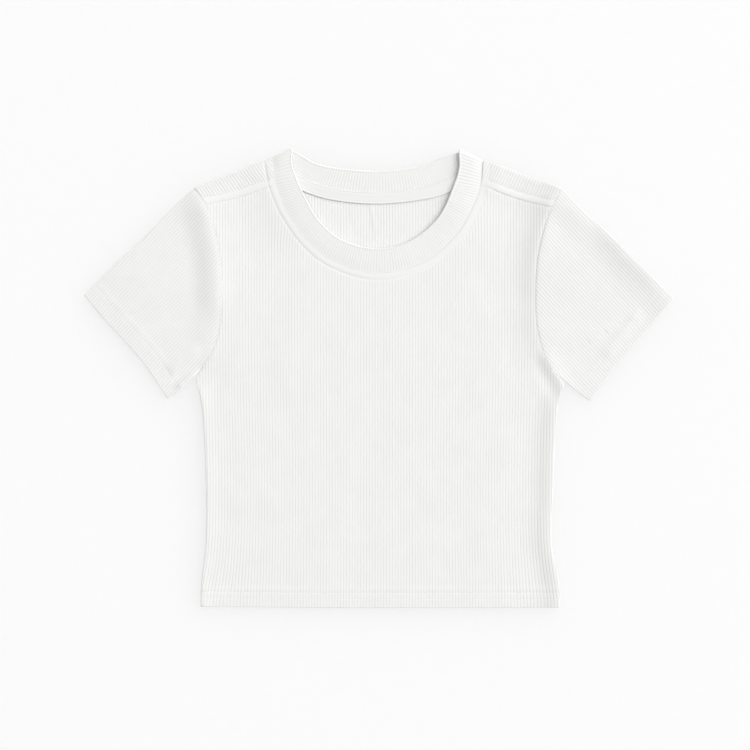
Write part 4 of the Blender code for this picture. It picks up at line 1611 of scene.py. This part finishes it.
class BandRun(NamedTuple):
    """The front or the back of the neckband, between its two turns."""

    seam: Sequence[Place]
    edge: Sequence[Place]
    matches: Table  # the shares of the edge that are across from shares of the seam
    ribs: int
    facing: float  # 1 where its outside is up
    crests: tuple[float, float]  # the strength of the ribs on its outside and on its inside


class BandTurn(NamedTuple):
    """An end of the shoulders, where the band turns over on an arc."""

    start: Line  # at the seam
    end: Line  # at the free edge
    outward: Line
    swing: Values  # the arc's radius at each share of the width
    level: Values


class BandSection(NamedTuple):
    """One section across the band: its middle, the way that its outside faces, and its ribs."""

    middle: np.ndarray
    facing: np.ndarray
    count: float
    crests: tuple[float, float]


FRONT_RUN = BandRun(
    seam=NECK_SEAM,
    edge=FRONT_EDGE,
    matches=(
        (0.0, 0.0), (0.08, 0.115), (0.22, 0.24), (0.38, 0.392), (0.5, 0.507), (0.78, 0.765),
        (0.92, 0.885), (1.0, 1.0),
    ),
    ribs=114,
    facing=1.0,
    crests=(1.0, 0.6),
)
BACK_RUN = BandRun(
    seam=BACK_NECK_SEAM,
    edge=BACK_EDGE,
    matches=((0.0, 0.0), (0.29, 0.272), (0.5, 0.51), (0.735, 0.77), (1.0, 1.0)),
    ribs=73,
    facing=-1.0,
    crests=(0.6, 1.0),
)


@dataclass
class Neckband:
    """The neckband: a ring of folded rib, which turns over at each end of the shoulders."""

    name: str = "neckband_cloth"
    node: str = "neckband"
    cut: Cut = Cut(0.55, 0.024, 0.0132)
    slot: str = "band_rib"
    width: float = 24.0
    turn_ribs: int = 3
    turn_crests: tuple[float, float] = (1.0, 0.0)
    stations: int = 8  # to each rib
    edge_radius: float = 1.1
    edge_thickness: float = 0.06
    foot_level: float = 1.85  # of the front, where the body's back lies under it
    top_level: float = 3.45  # where the band's own back lies under it
    lift: Span = (148.0, 178.0)  # along Y, from the one to the other
    turn_height: float = 200.0  # along Y, for the level at the turns
    settling: float = 0.38  # the share of its width over which it comes to that level
    curl: float = 1.6
    turn_clearance: float = 0.5
    edge_step: float = 1.0
    inner_relief: float = 0.6

    def __post_init__(self) -> None:
        """Finds the band's thickness and the two places where it turns over."""
        self.shares = np.array(BAND_SHARES)
        from_edge = (1 - self.shares) * self.width
        radius = self.edge_radius
        bulge = np.sqrt(np.maximum(radius**2 - (radius - from_edge) ** 2, 0))
        full = looked_up(BAND_THICKNESS, self.shares)
        self.thick = np.where(from_edge < radius, 2 * bulge + self.edge_thickness, full)
        self.widest = int(np.argmax(self.thick))
        self.left_turn = self.turn_at(NECK_SEAM[0], FRONT_EDGE[0], Hand.LEFT, 0.0)
        self.right_turn = self.turn_at(NECK_SEAM[-1], FRONT_EDGE[-1], Hand.RIGHT, 1.0)

    def front_level(self, along_neck: float, seam: Line, height: float) -> Values:
        """The level of the middle of the front's thickness across the band.

        Args:
            along_neck: the share of the way along the neck.
            seam: where the section starts.
            height: how far up the garment it ends.

        Returns:
            The level at each share of the band's width.
        """
        lift = float(ramp(np.array(height), *self.lift))
        base = FRONT_LEVEL + LOFT + float(NECK_FORM.lift(seam[None], 0.0)[0])
        raised = max(self.foot_level + (self.top_level - self.foot_level) * lift, base)
        level = base + (raised - base) * np.minimum(self.shares / self.settling, 1)
        level = level + looked_up(BAND_BELLY, self.shares * self.width)
        standing = looked_up(BAND_STANDS, along_neck) * self.shares**self.curl
        return level + standing + self.thick / 2

    def turn_at(self, seam_end: Place, edge_end: Place, hand: Hand, along_neck: float) -> BandTurn:
        """Finds how the band turns over at one end of the shoulders.

        Args:
            seam_end: where the seam meets the shoulder.
            edge_end: where the free edge turns.
            hand: the side.
            along_neck: that end's share of the way along the front's neck.

        Returns:
            The turn.
        """
        start, end = np.array(seam_end, float), np.array(edge_end, float)
        run = (end - start) / np.linalg.norm(end - start)
        outward = np.array([-run[1], run[0]]) * hand.value
        front, back = self.front_level(along_neck, start, self.turn_height), self.thick / 2
        start = start + run * self.turn_clearance
        return BandTurn(start, end, outward, (front - back) / 2, (front + back) / 2)

    def edge_line(self, places: Sequence[Place], free: bool) -> Line:
        """Draws an edge of the band between its two turns.

        Args:
            places: where the edge passes.
            free: whether it is the free edge, and not the one at the seam.

        Returns:
            The line, drawn in at its ends by the room that the turns take.
        """
        section = self.widest if free else 0
        first, last = (
            (turn.end if free else turn.start)
            - turn.outward * (turn.swing[section] + self.thick[section] / 2)
            for turn in (self.left_turn, self.right_turn)
        )
        return smooth([first, *places[1:-1], last], self.edge_step)

    def run_sections(self, run: BandRun, first: float) -> list[BandSection]:
        """Makes the sections of the front or the back, from a count of ribs on.

        Args:
            run: the front or the back.
            first: the count of ribs at its first section.

        Returns:
            The sections, in order round the ring.
        """
        seam, edge = self.edge_line(run.seam, False), self.edge_line(run.edge, True)
        steps = np.arange(run.ribs * self.stations + 1) / (run.ribs * self.stations)
        if run.facing < 0:
            steps = steps[::-1]
        sections = []
        ends = along(edge, looked_up(run.matches, steps))
        for step, start, end in zip(steps, along(seam, steps), ends):
            place = start + (end - start) * self.shares[:, None]
            if run.facing > 0:
                level, done = self.front_level(step, start, end[1]), step
            else:
                level, done = self.thick / 2, 1 - step
            middle, facing = np.column_stack([place, level]), np.array((0.0, 0.0, run.facing))
            sections.append(BandSection(middle, facing, first + done * run.ribs, run.crests))
        return sections

    def turn_sections(self, turn: BandTurn, down: bool, first: float) -> list[BandSection]:
        """Makes the sections of a turn, down to the back or up to the front.

        Args:
            turn: the turn.
            down: whether the ring goes down there to the back.
            first: the count of ribs where the turn starts.

        Returns:
            The sections, without those at its two ends.
        """
        count = self.turn_ribs * self.stations
        axis = turn.start + (turn.end - turn.start) * self.shares[:, None]
        axis = axis - turn.outward * (turn.swing + self.thick[self.widest] / 2)[:, None]
        sections = []
        for step in np.arange(1, count) / count:
            angle = math.pi * (step if down else 1 - step)
            facing = np.array([*(turn.outward * math.sin(angle)), math.cos(angle)])
            middle = np.column_stack([axis, turn.level]) + facing * turn.swing[:, None]
            ribs = first + step * self.turn_ribs
            sections.append(BandSection(middle, facing, ribs, self.turn_crests))
        return sections

    def build(self) -> bpy.types.Object:
        """Makes the ring.

        Returns:
            The ring's object.
        """
        down_at, back_at = FRONT_RUN.ribs, FRONT_RUN.ribs + self.turn_ribs
        up_at = back_at + BACK_RUN.ribs
        sections = [
            *self.run_sections(FRONT_RUN, 0),
            *self.turn_sections(self.right_turn, True, down_at),
            *self.run_sections(BACK_RUN, back_at),
            *self.turn_sections(self.left_turn, False, up_at),
        ]
        shares, half = self.shares, self.thick / 2
        ribbed = looked_up(BAND_RIB_STRENGTH, shares)
        across = np.concatenate([shares, shares[::-1]]) * self.width
        strength = np.concatenate([ribbed, ribbed[::-1]])
        points, weave = [], []
        for middle, facing, count, (outside, inside_out) in sections:
            relief = float(rib_relief(np.array(count)))
            outer = half + RIB_HEIGHT * relief * outside * ribbed
            inner = half + INSIDE_RIB_HEIGHT * relief * inside_out * ribbed * self.inner_relief
            points += [middle + facing * outer[:, None], (middle - facing * inner[:, None])[::-1]]
            weave.append(np.column_stack([np.full(len(across), count), across, strength]))
        points = np.vstack(points)
        points[:, 2] = np.maximum(points[:, 2], 0.0)
        ring = len(across)
        corners = [(j, (j + 1) % ring) for j in range(ring)]
        faces = [
            [low + j, high + j, high + k, low + k]
            for low, high in zip(
                range(0, len(points), ring), [*range(ring, len(points), ring), 0]
            )
            for j, k in corners
        ]
        piece = mesh_object(self.name, points, faces, np.vstack(weave))
        self.close_count(piece, ring, up_at + self.turn_ribs)
        return piece

    def close_count(self, piece: bpy.types.Object, ring: int, total: float) -> None:
        """Carries the count of ribs on over the last faces, which close the ring.

        Args:
            piece: the ring's object.
            ring: the number of points in a section.
            total: the count of ribs once round the ring.
        """
        layer = piece.data.uv_layers["weave"].data
        corners = np.empty(len(layer) * 2, np.float32)
        layer.foreach_get("uv", corners)
        closing = corners.reshape(-1, 2)[-4 * ring :]
        closing[closing[:, 0] < 1, 0] = total
        layer.foreach_set("uv", corners)


@dataclass
class NeckTape(ClothPiece):
    """The tape that covers the back neck seam on the inside."""

    name: str = "neck_tape_cloth"
    node: str = "neck_tape"
    cut: Cut = Cut(0.20, 0.0115, 0.0023)
    slot: str = "neck_tape"
    width: float = 11.5
    thickness: float = 0.9
    ends: Span = (-90.0, 87.0)
    foot_level: float = BAND_THICKNESS[0][1] + SEAM_GAP
    slope: float = 0.115  # up onto the band
    edge_lift: float = 0.3
    edge_reach: float = 2.5
    stitch_inset: float = 1.6
    stitch_depth: float = 0.12
    stitch_width: float = 0.5
    crown: float = 0.2
    crown_inset: float = 4.5
    upper_rows: Sequence[float] = (
        -5.2, -4.6, -4.2, -3.9, -3.5, -2.2, 0, 2.2, 3.5, 3.9, 4.2, 4.7, 5.3,
    )
    lower_rows: Sequence[float] = (-4, 0, 4)

    def __post_init__(self) -> None:
        """Draws the tape along the seam that it covers."""
        seam = smooth(BACK_NECK_SEAM)
        self.seam = seam[(seam[:, 0] > self.ends[0]) & (seam[:, 0] < self.ends[1])]
        half = self.width / 2
        self.lower_edge, self.upper_edge = beside(self.seam, -half), beside(self.seam, half)
        self.outline = joined(self.lower_edge, self.upper_edge[::-1])

    def faces(self) -> tuple[Face, Face]:
        """The two faces, with lines along the tape's edges, stitching and middle.

        Returns:
            The two faces.
        """
        upper, lower = (
            [beside(self.seam, inset)[1:-1] for inset in rows]
            for rows in (self.upper_rows, self.lower_rows)
        )
        return Face(self.upper, upper), Face(self.lower, lower)

    def lower(self, spots: Spots) -> Values:
        """The lower face's level, which climbs onto the band and stands up at its own edge.

        Args:
            spots: the places.

        Returns:
            The level at each place.
        """
        from_edge = distance_to(self.lower_edge, spots)
        onto_band = np.maximum(from_edge - self.width / 2, 0)
        lifted = self.edge_lift * np.exp(-((from_edge / self.edge_reach) ** 2))
        return self.foot_level + self.slope * onto_band + lifted

    def upper(self, spots: Spots) -> Values:
        """The upper face's level.

        Args:
            spots: the places.

        Returns:
            The level at each place.
        """
        from_rim = least_distance([self.lower_edge, self.upper_edge], spots)
        at_row = np.abs(from_rim - self.stitch_inset)
        crown = self.crown * ramp(from_rim, self.stitch_inset, self.crown_inset)
        crown += groove(at_row, self.stitch_depth, self.stitch_width)
        thick = self.thickness
        return self.lower(spots) + thick + crown - rounding(from_rim, thick)

    def weave(self, spots: Spots) -> np.ndarray:
        """Plain cloth with no ribs."""
        return np.column_stack([spots, np.zeros(len(spots))])


# Finishes


def linear(colour: str) -> tuple[float, float, float, float]:
    """The linear colour of an sRGB hex code."""
    parts = [int(colour[i : i + 2], 16) / 255 for i in (1, 3, 5)]
    return (*(p / 12.92 if p <= 0.04045 else ((p + 0.055) / 1.055) ** 2.4 for p in parts), 1.0)


class Nodes:
    """Builds a material's nodes."""

    def __init__(self, name: str) -> None:
        """Starts a material.

        Args:
            name: the material's name.
        """
        self.material = bpy.data.materials.new(name)
        self.material.use_nodes = True
        self.tree = self.material.node_tree
        self.shader = self.tree.nodes["Principled BSDF"]

    def add(self, kind: str, settings: dict | None = None, **inputs: object) -> bpy.types.Node:
        """Adds a node.

        Args:
            kind: the node's type.
            settings: the node's own properties.
            inputs: what feed() takes.

        Returns:
            The node.
        """
        node = self.tree.nodes.new(kind)
        for key, value in (settings or {}).items():
            setattr(node, key, value)
        self.feed(node, **inputs)
        return node

    def feed(self, node: bpy.types.Node, **inputs: object) -> None:
        """Sets a node's sockets, or links outputs to them.

        Args:
            node: the node.
            inputs: the sockets' values, or the outputs that feed them. An input's name has its
                spaces as underscores, and input0 is the first socket.
        """
        for key, value in inputs.items():
            numbered = key.startswith("input") and key[5:].isdigit()
            socket = node.inputs[int(key[5:]) if numbered else key.replace("_", " ")]
            if isinstance(value, bpy.types.NodeSocket):
                self.tree.links.new(value, socket)
            else:
                socket.default_value = value

    def maths(self, operation: str, *values: object) -> bpy.types.NodeSocket:
        """The result of a sum on one to three values."""
        inputs = {f"input{i}": value for i, value in enumerate(values)}
        return self.add("ShaderNodeMath", {"operation": operation}, **inputs).outputs[0]

    def smoothed(self, value: object, low: float, high: float) -> bpy.types.NodeSocket:
        """0 where value is low, 1 where it is high, and smooth between.

        Args:
            value: the value, or the output that gives it.
            low: where the result is 0.
            high: where it is 1.

        Returns:
            The output.
        """
        settings = {"interpolation_type": "SMOOTHSTEP"}
        inputs = {"Value": value, "From_Min": low, "From_Max": high}
        return self.add("ShaderNodeMapRange", settings, **inputs).outputs["Result"]

    def noise(self, place: object, size: float, detail: float = 2.0) -> bpy.types.NodeSocket:
        """Noise from 0 to 1 whose blots are of a size in metres.

        Args:
            place: the output that gives the place.
            size: the blots' size.
            detail: how many finer layers it has.

        Returns:
            The output.
        """
        inputs = {"Vector": place, "Scale": 1 / size, "Detail": detail}
        node = self.add("ShaderNodeTexNoise", Roughness=NOISE_ROUGHNESS, **inputs)
        return node.outputs["Fac"]

    def bump(self, height: object, distance: float, normal: object = None) -> bpy.types.NodeSocket:
        """The normal that a height gives, where 1 stands for a distance in metres.

        Args:
            height: the output that gives the height.
            distance: the real height of 1.
            normal: the normal to start from, if any.

        Returns:
            The output that gives the normal.
        """
        inputs = {"Height": height, "Distance": distance}
        if normal is not None:
            inputs["Normal"] = normal
        return self.add("ShaderNodeBump", **inputs).outputs["Normal"]


@dataclass(frozen=True)
class ClothFinish:
    """A knitted cloth, with or without ribs, and with painted shade down in the furrows between
    its ribs.
    """

    name: str
    note: str
    colour: str
    # painted shade: the colour down in the furrows between ribs, where the ribs shade them
    furrow_shade_colour: str
    roughness: float
    sheen: float
    stitch_size: float  # metres
    stitch_depth: float  # metres
    rib_depth: float = 0.0  # metres
    furrow: Span = (0.55, 1.0)  # where the painted furrow shade and the furrow's bump start, and the middle of the furrow
    # blotches in which the painted furrow shade is deeper or fainter
    patch_size: float = 0.02  # metres
    patches: Span = (-0.1, 0.75)
    stitch_detail: float = 3.0
    unevenness: float = 0.1  # of the roughness
    sheen_roughness: float = 0.6
    gloss: float = 0.2

    def make(self) -> bpy.types.Material:
        """Makes the material.

        Returns:
            The material.
        """
        nodes = Nodes(self.name)
        weave = nodes.add("ShaderNodeUVMap", {"uv_map": "weave"}).outputs[0]
        count = nodes.add("ShaderNodeSeparateXYZ", input0=weave).outputs[0]
        level = nodes.add("ShaderNodeUVMap", {"uv_map": "rib_strength"}).outputs[0]
        strength = nodes.add("ShaderNodeSeparateXYZ", input0=level).outputs[0]
        place = nodes.add("ShaderNodeTexCoord").outputs["Object"]
        # 0 on a rib's crest and 1 in the furrow between two ribs
        furrow = nodes.maths("MULTIPLY", nodes.maths("PINGPONG", count, 0.5), 2.0)
        # how far down into a furrow each place is, which sets both the painted furrow shade and
        # the ribs' bump
        furrow_shade_and_depth = nodes.maths("MULTIPLY", nodes.smoothed(furrow, *self.furrow), strength)
        patches = nodes.smoothed(nodes.noise(place, self.patch_size), *self.patches)
        # painted shade: the cloth turns towards the furrow shade colour down in its furrows, in
        # blotches
        colour = nodes.add(
            "ShaderNodeMix",
            {"data_type": "RGBA"},
            input0=nodes.maths("MULTIPLY", furrow_shade_and_depth, patches),
            input6=linear(self.colour),
            input7=linear(self.furrow_shade_colour),
        ).outputs[2]
        knit = nodes.noise(place, self.stitch_size, self.stitch_detail)
        normal = nodes.bump(knit, self.stitch_depth)
        if self.rib_depth:
            normal = nodes.bump(nodes.maths("SUBTRACT", 1.0, furrow_shade_and_depth), self.rib_depth, normal)
        smoothest = self.roughness - self.unevenness / 2
        nodes.feed(
            nodes.shader,
            Base_Color=colour,
            Normal=normal,
            Roughness=nodes.maths("MULTIPLY_ADD", knit, self.unevenness, smoothest),
            Sheen_Weight=self.sheen,
            Sheen_Roughness=self.sheen_roughness,
            Specular_IOR_Level=self.gloss,
        )
        LOG.info("%s: %s", self.name, self.note)
        return nodes.material


RIB_KNIT = ClothFinish(
    name="white_cotton_rib_knit",
    note="washed cotton rib: matt, a little fuzzy, darker down between its ribs",
    colour="#F2F2F1",
    # painted shade down in the furrows between the ribs
    furrow_shade_colour="#E1E1E0",
    roughness=0.92,
    sheen=0.08,
    stitch_size=0.0011,
    stitch_depth=0.00007,
    rib_depth=0.00006,
)
BAND_RIB = ClothFinish(
    name="white_cotton_band_rib",
    note="the same rib folded double, so tauter and a little brighter",
    colour="#F2F2F1",
    # a lighter painted shade down in its furrows than the body's rib has
    furrow_shade_colour="#E3E3E2",
    roughness=0.9,
    sheen=0.08,
    stitch_size=0.0010,
    stitch_depth=0.00006,
    rib_depth=0.00006,
)
TAPE_JERSEY = ClothFinish(
    name="white_jersey_tape",
    note="close plain jersey, smoother than the rib",
    colour="#F0F0EF",
    furrow_shade_colour="#F0F0EF",
    roughness=0.85,
    sheen=0.05,
    stitch_size=0.0007,
    stitch_depth=0.00005,
)
THREAD = ClothFinish(
    name="white_sewing_thread",
    note="spun polyester thread, with a faint gleam",
    colour="#F6F6F5",
    furrow_shade_colour="#F6F6F5",
    roughness=0.6,
    sheen=0.0,
    stitch_size=0.0003,
    stitch_depth=0.00002,
)


@dataclass(frozen=True)
class Studio:
    """A white surface under a wide soft light from the right, seen from straight above."""

    floor_size: float = 6.0
    floor_depth: float = 0.06
    floor_gap: float = 0.0002
    floor_colour: str = "#FEFEFD"
    floor_scatter_reach: float = 0.1
    floor_glow: float = 1.018  # of the light table under the board
    floor_glow_share: float = 0.5
    light_azimuth: float = 30.0  # degrees, anticlockwise from +X
    light_elevation: float = 38.0
    light_distance: float = 16.0
    light_size: float = 18.0
    light_power: float = 2650.0
    sky: float = 0.53
    camera_place: tuple[float, float, float] = (-0.0040, 0.0028, 3.0)
    camera_view: float = 0.72915  # metres across, where the cloth lies
    cloth_level: float = 0.003
    sensor: float = 36.0

    def build(self) -> None:
        """Makes the floor, the light, the sky and the camera."""
        scene = bpy.context.scene
        scene.view_settings.view_transform = "Standard"
        self.make_floor()
        self.make_light()
        world = bpy.data.worlds.new("studio_walls")
        world.use_nodes = True
        background = world.node_tree.nodes["Background"]
        background.inputs["Color"].default_value = (1, 1, 1, 1)
        background.inputs["Strength"].default_value = self.sky
        scene.world = world
        data = bpy.data.cameras.new("camera")
        data.sensor_width = self.sensor
        data.lens = self.sensor * (self.camera_place[2] - self.cloth_level) / self.camera_view
        camera = bpy.data.objects.new("camera", data)
        camera.location = self.camera_place
        scene.collection.objects.link(camera)
        scene.camera = camera

    def make_floor(self) -> None:
        """Makes a thick white slab that light wanders into, so that shadows on it are soft."""
        half, top = self.floor_size / 2, -self.floor_gap
        square = ((-half, -half), (half, -half), (half, half), (-half, half))
        points = np.array([(x, y, z) for z in (top - self.floor_depth, top) for x, y in square])
        sides = [[i, (i + 1) % 4, (i + 1) % 4 + 4, i + 4] for i in range(4)]
        faces = [[3, 2, 1, 0], [4, 5, 6, 7], *sides]
        floor = mesh_object("floor", points / METRES, faces, np.zeros((8, 3)))
        nodes = Nodes("white_matt_board")
        nodes.feed(
            nodes.shader,
            Base_Color=linear(self.floor_colour),
            Roughness=1.0,
            Specular_IOR_Level=0.0,
            Subsurface_Weight=1.0,
            Subsurface_Radius=(1.0, 1.0, 1.0),
            Subsurface_Scale=self.floor_scatter_reach,
        )
        glow = nodes.add("ShaderNodeEmission", Color=(1, 1, 1, 1), Strength=self.floor_glow)
        mixed = nodes.add(
            "ShaderNodeMixShader",
            input0=self.floor_glow_share,
            input1=nodes.shader.outputs[0],
            input2=glow.outputs[0],
        )
        nodes.feed(nodes.tree.nodes["Material Output"], Surface=mixed.outputs[0])
        floor.data.materials.append(nodes.material)

    def make_light(self) -> None:
        """Makes the wide soft light."""
        data = bpy.data.lights.new("soft_light", "AREA")
        data.shape = "DISK"
        data.size = self.light_size
        data.energy = self.light_power
        light = bpy.data.objects.new("soft_light", data)
        around, up = math.radians(self.light_azimuth), math.radians(self.light_elevation)
        across = math.cos(up)
        way = Vector((math.cos(around) * across, math.sin(around) * across, math.sin(up)))
        light.location = way * self.light_distance
        light.rotation_euler = way.to_track_quat("Z", "Y").to_euler()
        bpy.context.scene.collection.objects.link(light)


# The garment


def placed(
    piece: bpy.types.Object, material: bpy.types.Material, slot: str, node: str | None = None
) -> bpy.types.Object:
    """Gives a piece its cloth and its place in the frame.

    Args:
        piece: the piece.
        material: its cloth.
        slot: its material slot; not used.
        node: the solid that it replaces, if any.

    Returns:
        The piece.
    """
    piece.data.materials.append(material)
    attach(piece, "root")
    if node:
        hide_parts(node)
    LOG.info("%s: %d faces", piece.name, len(piece.data.polygons))
    return piece


def main() -> None:
    """Builds the garment piece by piece and sets up the studio."""
    logging.basicConfig(level=logging.INFO, format="%(message)s")
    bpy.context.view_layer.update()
    finishes = {"rib_knit": RIB_KNIT, "band_rib": BAND_RIB, "neck_tape": TAPE_JERSEY}
    cloths = {slot: finish.make() for slot, finish in finishes.items()}
    thread = THREAD.make()

    back, front, band, tape = BackPanel(), FrontPanel(), Neckband(), NeckTape()
    left = Sleeve("sleeve_left_cloth", "sleeve_left", side=LEFT)
    right = Sleeve("sleeve_right_cloth", "sleeve_right", side=RIGHT)
    pieces = {
        part.name: placed(shaded(part.build()), cloths[part.slot], part.slot, part.node)
        for part in (back, front, left, right, band, tape)
    }
    sewing = {
        part.name: [placed(row.build(), thread, part.slot) for row in part.stitch_rows()]
        for part in (front, back, left, right)
    }
    rests_on = {front.name: [back], band.name: [back], tape.name: [back, band]}
    for part in (back, front, left, right, band, tape):
        [pieces[under.name] for under in rests_on.get(part.name, ())]
        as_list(sewing.get(part.name, []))

    Studio().build()


if __name__ == "__main__":
    main()
